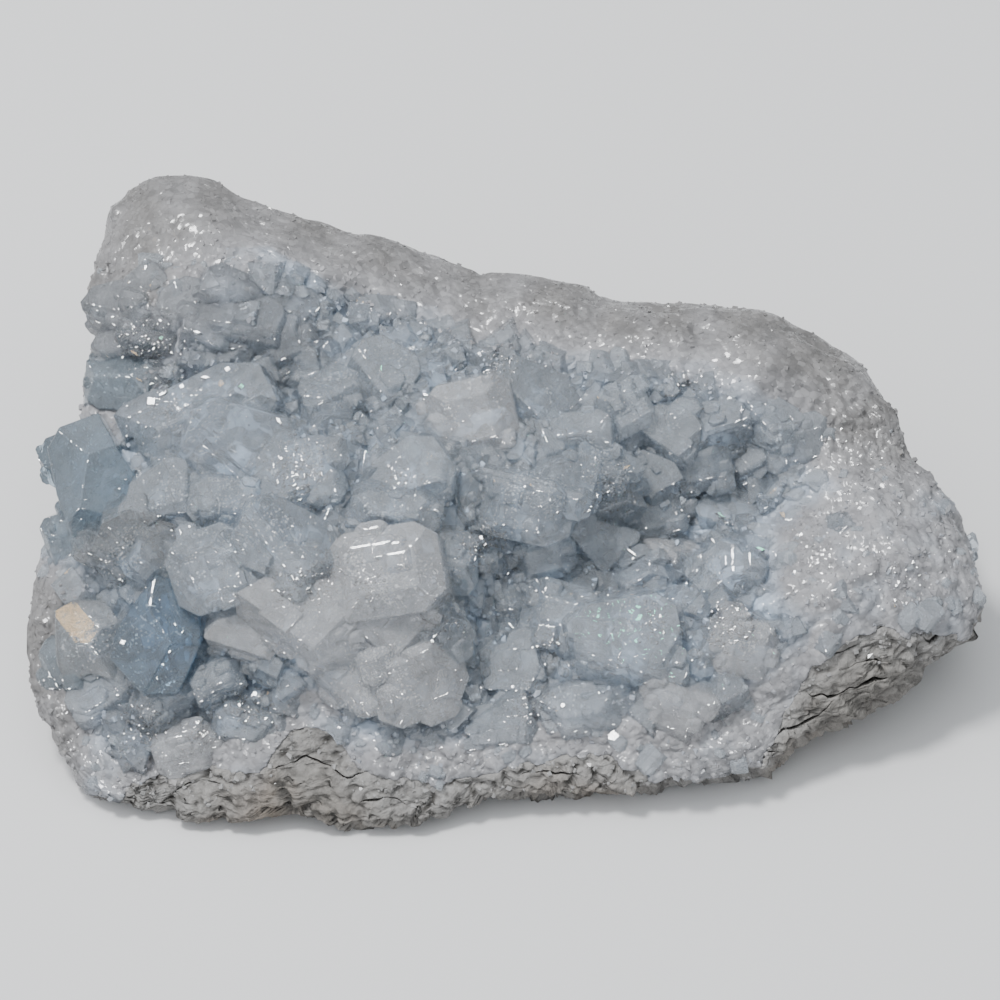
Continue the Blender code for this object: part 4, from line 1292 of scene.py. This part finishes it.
def glitter_spots(numbers):
    """Where chips glitter: a, b, size, the light they mirror, how unevenly, and how deep they sit."""
    spots = []
    for at_a, at_b, reach in GLITTER:
        for _ in range(int(reach * reach * GLITTER_DENSITY)):
            a = at_a + numbers.normal(0, reach / 2)
            b = at_b + numbers.normal(0, reach / 2)
            size = numbers.uniform(*GLITTER_SIZE)
            spots.append((a, b, size, KEY_PLACE, GLITTER_SPREAD, CHIP_SUNK))
    for _ in range(SPARKLES):
        a, b = [numbers.uniform(-reach, reach) for reach in SPARKLE_REACH]
        size = numbers.uniform(*SPARKLE_SIZE)
        spots.append((a, b, size, KEY_PLACE, SPARKLE_SPREAD, CHIP_SUNK))
    return spots + [(*glint, 0.0, 0.0) for glint in GLINTS]


def glitter_grains(tree, numbers):
    """Chips on the front of the celestite, turned so that they mirror a light."""
    world = face_to_world()
    camera = camera_place()
    sites = []
    for a, b, size, light, spread, sunk in glitter_spots(numbers):
        toward = (world @ Vector((a, b, 0)) - camera).normalized()
        hit = tree.ray_cast(camera, toward)[0]
        tilt, spin = tilt_and_spin(spread, numbers)
        if hit is None or crust_thickness(a, b) < CHIP_CRUST or on_bare_rim(a, b):
            continue
        point = hit - (camera - hit).normalized() * size * MM * sunk
        aim = mirror_normal(hit, light).to_track_quat("Z", "Y").to_matrix()
        tint = min(1.0, CHIP_TINT + white_share(a, b))
        sites.append((point, size * MM, aim @ tilt @ spin, tint))
    return columns(sites)


def chip(outline, low=-0.4, high=0.3):
    """A chip with a flat top of four corners, its foot a little wider."""
    foot = [(x * CHIP_FOOT, y * CHIP_FOOT, low) for x, y in outline]
    top = [(x, y, high) for x, y in outline]
    faces = [(0, 2, 1), (0, 3, 2), (4, 5, 6), (4, 6, 7)]
    for corner in range(4):
        after = (corner + 1) % 4
        faces += [(corner, after, after + 4), (corner, after + 4, corner + 4)]
    return np.array(foot + top), np.array(faces)


# Tops of the chips that glitter, about 1 across
CHIPS = (
    chip(((-0.35, -0.25), (0.3, -0.35), (0.35, 0.3), (-0.25, 0.35))),
    chip(((-0.5, -0.08), (0.1, -0.22), (0.55, 0.05), (-0.1, 0.16))),
    chip(((-0.4, -0.3), (0.45, -0.1), (0.2, 0.12), (-0.2, 0.05))),
    chip(((-0.55, 0.0), (-0.1, -0.1), (0.6, 0.02), (0.0, 0.09))),
)

# Thin slivers for the edges of crystals, about 1 long
SLIVERS = (
    chip(((-0.55, 0.0), (-0.1, -0.07), (0.6, 0.01), (0.0, 0.05)), -0.12, 0.03),
    chip(((-0.4, -0.04), (0.15, -0.06), (0.35, 0.02), (-0.1, 0.08)), -0.12, 0.03),
)

# A thin flake, about 1 across
FLAKE = (
    np.array([(-0.5, -0.3, 0), (0.5, -0.35, 0), (0.1, 0.55, 0), (0, 0, 0.12)]),
    np.array([(0, 2, 1), (0, 1, 3), (1, 2, 3), (2, 0, 3)]),
)


def edge_glints(edges, numbers):
    """Slivers along crystal edges, turned so that they mirror the key light."""
    sites = []
    for start, end in edges:
        along = end - start
        if along.length < EDGE_SHORTEST * MM or numbers.random() > EDGES_LIT:
            continue
        at = numbers.uniform(*SLIVER_START)
        while at < SLIVER_END:
            size = numbers.uniform(*EDGE_GLINT) * MM
            point = start + along * at
            uneven = Vector(numbers.normal(0, SLIVER_SPREAD, 3))
            normal = (mirror_normal(point, KEY_PLACE) + uneven).normalized()
            side = (along - normal * along.dot(normal)).normalized()
            turn = Matrix((side, normal.cross(side), normal)).transposed()
            sites.append((point, size, turn, 1.0))
            at += size / along.length * numbers.uniform(*SLIVER_GAPS)
    return columns(sites)


def veil_places(middle, reach, numbers):
    """Where the flakes of one thin curved veil lie, and the turn that faces along it."""
    normal = numbers.normal(size=3)
    normal /= np.linalg.norm(normal)
    center = middle + numbers.uniform(-0.5, 0.5, 3) * reach
    bend = numbers.normal(0, VEIL_BEND)
    side = np.cross(normal, (0.3, 0.5, 0.8))
    side /= np.linalg.norm(side)
    other = np.cross(normal, side)
    spots = numbers.normal(0, VEIL_REACH, (VEIL_FLAKES, 2))
    lift = bend * (spots ** 2).sum(axis=1) + numbers.normal(0, VEIL_ROUGHNESS, VEIL_FLAKES)
    places = center + spots[:, :1] * side + spots[:, 1:] * other + lift[:, None] * normal
    return places, Vector(normal).to_track_quat("Z", "Y").to_matrix()


def veil_specks(crystals, whiter, numbers):
    """Tiny flat flakes inside the large crystals, in thin curved veils."""
    sites = []
    for index, (body, *_) in enumerate(crystals):
        veils, largest = VEILS_WHITE if index in whiter else VEILS
        tree = polygons_tree([body])
        corners = points_of(body)
        middle = corners.mean(axis=0)
        reach = np.abs(corners - middle).max(axis=0)
        for _ in range(veils):
            places, aim = veil_places(middle, reach, numbers)
            for place in places:
                tilt, spin = tilt_and_spin(FLAKE_TILT, numbers)
                near, out, _, gap = tree.find_nearest(Vector(place))
                inside = near is not None and (Vector(place) - near).dot(out) < 0
                if inside and gap > VEIL_COVER:
                    size = numbers.uniform(FLAKE_SMALLEST, largest) * MM
                    sites.append((place, size, aim @ tilt @ spin, 1.0))
    return columns(sites)


# Materials


def new_material(name):
    made = bpy.data.materials.new(name)
    made.use_nodes = True
    tree = made.node_tree
    return made, tree, tree.nodes["Principled BSDF"]


def add_node(tree, kind, inputs=None, **settings):
    made = tree.nodes.new("ShaderNode" + kind)
    for name, value in settings.items():
        setattr(made, name, value)
    for name, value in (inputs or {}).items():
        if isinstance(value, bpy.types.NodeSocket):
            tree.links.new(value, made.inputs[name])
        else:
            made.inputs[name].default_value = value
    return made


def object_place(tree):
    return add_node(tree, "TexCoord").outputs["Object"]


def tint_of(tree):
    return add_node(tree, "Attribute", attribute_name="tint").outputs["Fac"]


def vector_math(tree, operation, first, second):
    return add_node(tree, "VectorMath", {0: first, 1: second}, operation=operation)


def noise_of(tree, size_mm, detail=4.0):
    inputs = {
        "Vector": object_place(tree), "Scale": 1000 / size_mm, "Detail": detail, "Roughness": 0.55
    }
    return add_node(tree, "TexNoise", inputs).outputs["Fac"]


def stretched(tree, value, low, high, to_low, to_high, **settings):
    """A value with the range from low to high stretched to another range, and clamped."""
    inputs = {
        "Value": value, "From Min": low, "From Max": high, "To Min": to_low, "To Max": to_high
    }
    return add_node(tree, "MapRange", inputs, **settings).outputs["Result"]


def blended(tree, share, first, second):
    """A colour between two, each a socket or red, green and blue."""
    mix = add_node(tree, "Mix", data_type="RGBA")
    colours = [i for i in mix.inputs if i.type == "RGBA"]
    tree.links.new(share, mix.inputs["Factor"])
    for socket, colour in zip(colours, (first, second)):
        if isinstance(colour, bpy.types.NodeSocket):
            tree.links.new(colour, socket)
        else:
            socket.default_value = (*colour, 1)
    return next(o for o in mix.outputs if o.type == "RGBA")


def add_bump(tree, shader, height, distance_mm):
    bump = add_node(tree, "Bump", {"Height": height, "Distance": distance_mm * MM, "Strength": 1.0})
    tree.links.new(bump.outputs["Normal"], shader.inputs["Normal"])


def add_facets(tree, shader, cell_mm, tilt):
    """Bump of flat facets, each in a cell of its own and tilted its own way."""
    place = object_place(tree)
    cells = add_node(tree, "TexVoronoi", {"Vector": place, "Scale": 1000 / cell_mm})
    from_middle = vector_math(tree, "SUBTRACT", place, cells.outputs["Position"])
    leaning = vector_math(tree, "SUBTRACT", cells.outputs["Color"], (0.5, 0.5, 0.5))
    rise = vector_math(tree, "DOT_PRODUCT", from_middle.outputs[0], leaning.outputs[0])
    add_bump(tree, shader, rise.outputs["Value"], tilt / MM)


def celestite_material(name, blue, white, facets=0.0):
    """Massive celestite: cloudy, from blue to white by each point's tint, and past a tint of 1
    darkened by painted shade of the rim.
    """
    made, tree, shader = new_material(name)
    tint = tint_of(tree)
    clouds = stretched(tree, noise_of(tree, 2.4, detail=1.0), 0.3, 0.7, 0.8, 1.1)
    # painted shade of the rim: a tint past 1 mixes in the darker rim colour
    rim = stretched(tree, tint, 1, 2, 0, 1)
    colour = blended(tree, rim, blended(tree, tint, blue, white), RIM_SHADE_COLOUR)
    shade = add_node(tree, "VectorMath", {0: colour, "Scale": clouds}, operation="SCALE")
    tree.links.new(shade.outputs[0], shader.inputs["Base Color"])
    shader.inputs["Roughness"].default_value = 0.22
    shader.inputs["IOR"].default_value = CELESTITE_IOR
    if facets:
        add_facets(tree, shader, facets, FACET_TILT)
    return made


def crystal_material(name, colour, clearness, waves=0.0, gloss=0.10, absorbed=None, density=0):
    """Clear crystal: see-through with a milky share, and bluer the deeper one looks."""
    made, tree, shader = new_material(name)
    if waves:
        share = stretched(tree, noise_of(tree, CLOUD_SIZE, detail=2.0), 0.38, 0.62, 0, 1)
        rough = stretched(tree, noise_of(tree, 2.5, detail=1.0), 0.4, 0.65, FINEST_GLOSS, gloss)
        tree.links.new(rough, shader.inputs["Roughness"])
        add_bump(tree, shader, noise_of(tree, 1.6, detail=1.0), waves)
    else:
        share = tint_of(tree)
        shader.inputs["Roughness"].default_value = GRAIN_GLOSS
    duller = tuple(c * CLOUD_SHADE for c in colour)
    tree.links.new(blended(tree, share, duller, colour), shader.inputs["Base Color"])
    shader.inputs["IOR"].default_value = CELESTITE_IOR
    shader.inputs["Transmission Weight"].default_value = clearness
    if density:
        inputs = {"Color": (*absorbed, 1), "Density": density}
        volume = add_node(tree, "VolumeAbsorption", inputs)
        output = tree.nodes["Material Output"]
        tree.links.new(volume.outputs["Volume"], output.inputs["Volume"])
    return made


def stone_material(name):
    """Chalky limestone: whiter below the crust, buff stains, and painted shade in its creases, which
    leaves the ridges paler.
    """
    made, tree, shader = new_material(name)
    mottled = stretched(tree, noise_of(tree, 6.0), 0.35, 0.65, 0, 1)
    colour = blended(tree, mottled, STONE_DARK, STONE_PALE)
    stains = stretched(tree, noise_of(tree, 11.0), 0.5, 0.66, 0, 0.7)
    colour = blended(tree, stains, colour, STONE_STAIN)
    colour = blended(tree, tint_of(tree), colour, STONE_WHITE)
    specks = stretched(tree, noise_of(tree, 0.7), 0.35, 0.7, 0, 0.45)
    colour = blended(tree, specks, colour, STONE_SPECK)
    # Painted shade: where the pointiness is low, in the creases, the colour is darkened
    shade_pointiness = add_node(tree, "NewGeometry").outputs["Pointiness"]
    colour = blended(tree, stretched(tree, shade_pointiness, 0.44, 0.50, 1, 0), colour, STONE_CREASE_SHADE)
    tree.links.new(colour, shader.inputs["Base Color"])
    shader.inputs["Roughness"].default_value = 0.9
    add_bump(tree, shader, noise_of(tree, 0.5, detail=5.0), 0.35)
    return made


# The scene


def add_piece(mesh, material, slot, *nodes):
    obj = bpy.data.objects.new(mesh.name, mesh)
    bpy.context.scene.collection.objects.link(obj)
    mesh.materials.append(material)
    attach(obj, "root")
    if nodes:
        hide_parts(*nodes)
    return obj


def keep_inside(mesh, low, high):
    """Brings the few points that noise pushed out of the solids' box back to it."""
    points = np.clip(points_of(mesh), low, high)
    mesh.vertices.foreach_set("co", points.reshape(-1))
    mesh.update()


def polygons_tree(meshes):
    """A search tree over the faces of all the meshes."""
    points, faces = [], []
    for mesh in meshes:
        offset = len(points)
        points += [v.co.copy() for v in mesh.vertices]
        faces += [[i + offset for i in p.vertices] for p in mesh.polygons]
    return BVHTree.FromPolygons(points, faces)


def body_meshes():
    """The limestone, the celestite between its crystals, and the block that parts them."""
    above = helper_object(block_above_split("above_split", 0))
    above_gap = helper_object(block_above_split("above_gap", SEAM))
    under_floor = helper_object(block_under_floor("under_floor"))
    cracks = collection_of("cracks", [
        crack_mesh(index, points, gape) for index, (points, gape) in enumerate(CRACKS)
    ])
    rock = boolean_mesh(
        "limestone_rock", rock_mesh("rock", stone_detail),
        [("DIFFERENCE", above), ("DIFFERENCE", cracks), ("DIFFERENCE", under_floor)],
    )
    bed = boolean_mesh(
        "celestite_bed", rock_mesh("bed", celestite_detail),
        [("INTERSECT", above_gap), ("DIFFERENCE", under_floor)],
    )
    for mesh in (rock, bed):
        mesh.polygons.foreach_set("use_smooth", [True] * len(mesh.polygons))
    return rock, bed, above_gap


def crystal_meshes(above_gap, chance, detail_chance):
    """The large crystals one by one, one mesh for each kind, and the edges of all."""
    edges = []
    crystals = large_crystal_meshes(LARGE_CRYSTALS, chance, detail_chance, edges)
    special = {index: name for name, indices in KINDS.items() for index in indices}
    groups = {name: [] for name in (*KINDS, "milky_crystals", "knob_crystals")}
    for index, parts in enumerate(crystals):
        groups[special.get(index, "milky_crystals")] += parts
    for name, listed in FURTHER_CRYSTALS:
        for parts in large_crystal_meshes(listed, detail_chance, detail_chance, edges):
            groups[name] += parts
    return crystals, [union_of(name, parts, above_gap) for name, parts in groups.items()], edges


def small_crystals(above_gap, chance):
    """All the small crystals, as one mesh."""
    taken, meshes = [], []
    for wanted in SMALL_CRYSTALS:
        meshes += small_crystal_meshes(chance, taken, wanted)
    return union_of("small_crystals", meshes, above_gap)


def grain_meshes(bed, small, forms, druses, numbers):
    """The layers of grains on the celestite, a mesh for each."""
    meshes = []
    for name, layer in GRAIN_LAYERS.items():
        ordered = name != "sugar_grains"
        sites = grain_layer([bed, small] if layer[0] else [bed], layer, ordered, numbers)
        meshes.append(scattered_mesh(name, *sites, druses if ordered else forms, numbers))
    return meshes


def tint_surface(mesh, share, rim_shaded):
    """Tints each point by a share, and where the last argument is 1 adds the painted shade of the rim
    there too.
    """
    face = face_points(points_of(mesh))
    set_tint(mesh, np.array([share(a, b) + rim_shaded * rim_shade_share(a, b) for a, b, _ in face]))


def add_pieces(rock, bed, veils, others):
    """Adds all the pieces, each with its material."""
    cloudy = {name: celestite_material(name, *look) for name, look in CLOUDY.items()}
    add_piece(rock, stone_material("limestone"), "limestone", "limestone_matrix")
    add_piece(bed, cloudy["celestite_bed"], "celestite", "celestite_crystals")
    add_piece(veils, cloudy["celestite_veils"], "celestite")
    for mesh in others:
        if mesh.name in GLASS:
            made = crystal_material(mesh.name, *GLASS[mesh.name])
        else:
            made = cloudy.get(mesh.name, cloudy["celestite_grains"])
        add_piece(mesh, made, "celestite")


def main():
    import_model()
    cad_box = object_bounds()
    chance = random.Random(SEED)
    detail_chance = random.Random(SEED + 1)
    numbers = np.random.default_rng(SEED)

    rock, bed, above_gap = body_meshes()
    crystals, large, edges = crystal_meshes(above_gap, chance, detail_chance)
    small = small_crystals(above_gap, chance)
    forms = [grain_form(chance) for _ in range(GRAIN_FORMS)]
    druses = [druse_form(chance) for _ in range(DRUSE_FORMS)]

    grains = grain_meshes(bed, small, forms, druses, numbers)
    sites = glitter_grains(polygons_tree([bed, *large, small]), numbers)
    glitter = scattered_mesh("glitter_grains", *sites, CHIPS, numbers)
    sites = veil_specks(crystals, KINDS["white_crystals"], numbers)
    veils = scattered_mesh("crystal_veils", *sites, [FLAKE], numbers)
    sites = edge_grains(rock, numbers)
    grains.append(scattered_mesh("edge_grains", *sites, forms, numbers))
    slivers = scattered_mesh("edge_glints", *edge_glints(edges, numbers), SLIVERS, numbers)

    tint_surface(bed, white_share, 1.0)
    tint_surface(small, white_share, 1.0)
    tint_surface(rock, whitened_share, 0.0)
    others = [*grains, *large, small, glitter, slivers]
    low, high = (np.array(corner) for corner in cad_box)
    for mesh in [rock, bed, veils, *others]:
        keep_inside(mesh, low, high)
    add_pieces(rock, bed, veils, others)
    for obj in list(HELPERS.all_objects):
        bpy.data.objects.remove(obj)

    add_floor()
    add_camera()
    add_lights()


def add_floor():
    bm = bmesh.new()
    bmesh.ops.create_grid(bm, x_segments=1, y_segments=1, size=FLOOR_SIZE)
    mesh = mesh_from(bm, "floor", Matrix.Identity(4))
    obj = bpy.data.objects.new("floor", mesh)
    bpy.context.scene.collection.objects.link(obj)
    made, _, shader = new_material("floor")
    shader.inputs["Base Color"].default_value = FLOOR_COLOUR
    shader.inputs["Roughness"].default_value = 0.8
    mesh.materials.append(made)


def add_camera():
    camera = bpy.data.cameras.new("camera")
    camera.lens = LENS
    camera.sensor_width = SENSOR
    obj = bpy.data.objects.new("camera", camera)
    bpy.context.scene.collection.objects.link(obj)
    obj.location = camera_place()
    toward = camera_place() - FACE_MIDDLE * MM
    obj.rotation_euler = toward.to_track_quat("Z", "Y").to_euler()
    bpy.context.scene.camera = obj


def add_light(name, place, size, watts, colour):
    light = bpy.data.lights.new(name, "AREA")
    light.shape = "DISK"
    light.size = size
    light.energy = watts
    light.color = colour
    obj = bpy.data.objects.new(name, light)
    obj.location = place
    aim = LIGHTS_AIM - Vector(place)
    obj.rotation_euler = aim.to_track_quat("-Z", "Y").to_euler()
    bpy.context.scene.collection.objects.link(obj)


def add_lights():
    for light in LIGHTS:
        add_light(*light)
    world = bpy.data.worlds.new("world")
    bpy.context.scene.world = world
    world.use_nodes = True
    tree = world.node_tree
    background = tree.nodes["Background"]
    background.inputs["Color"].default_value = DOME_COLOUR
    direction = add_node(tree, "TexCoord").outputs["Generated"]
    facing = vector_math(tree, "DOT_PRODUCT", direction, Vector(DOME_MIDDLE).normalized())
    glow = stretched(
        tree, facing.outputs["Value"], *DOME_EDGE, *DOME_GLOW, interpolation_type="SMOOTHSTEP"
    )
    tree.links.new(glow, background.inputs["Strength"])


main()
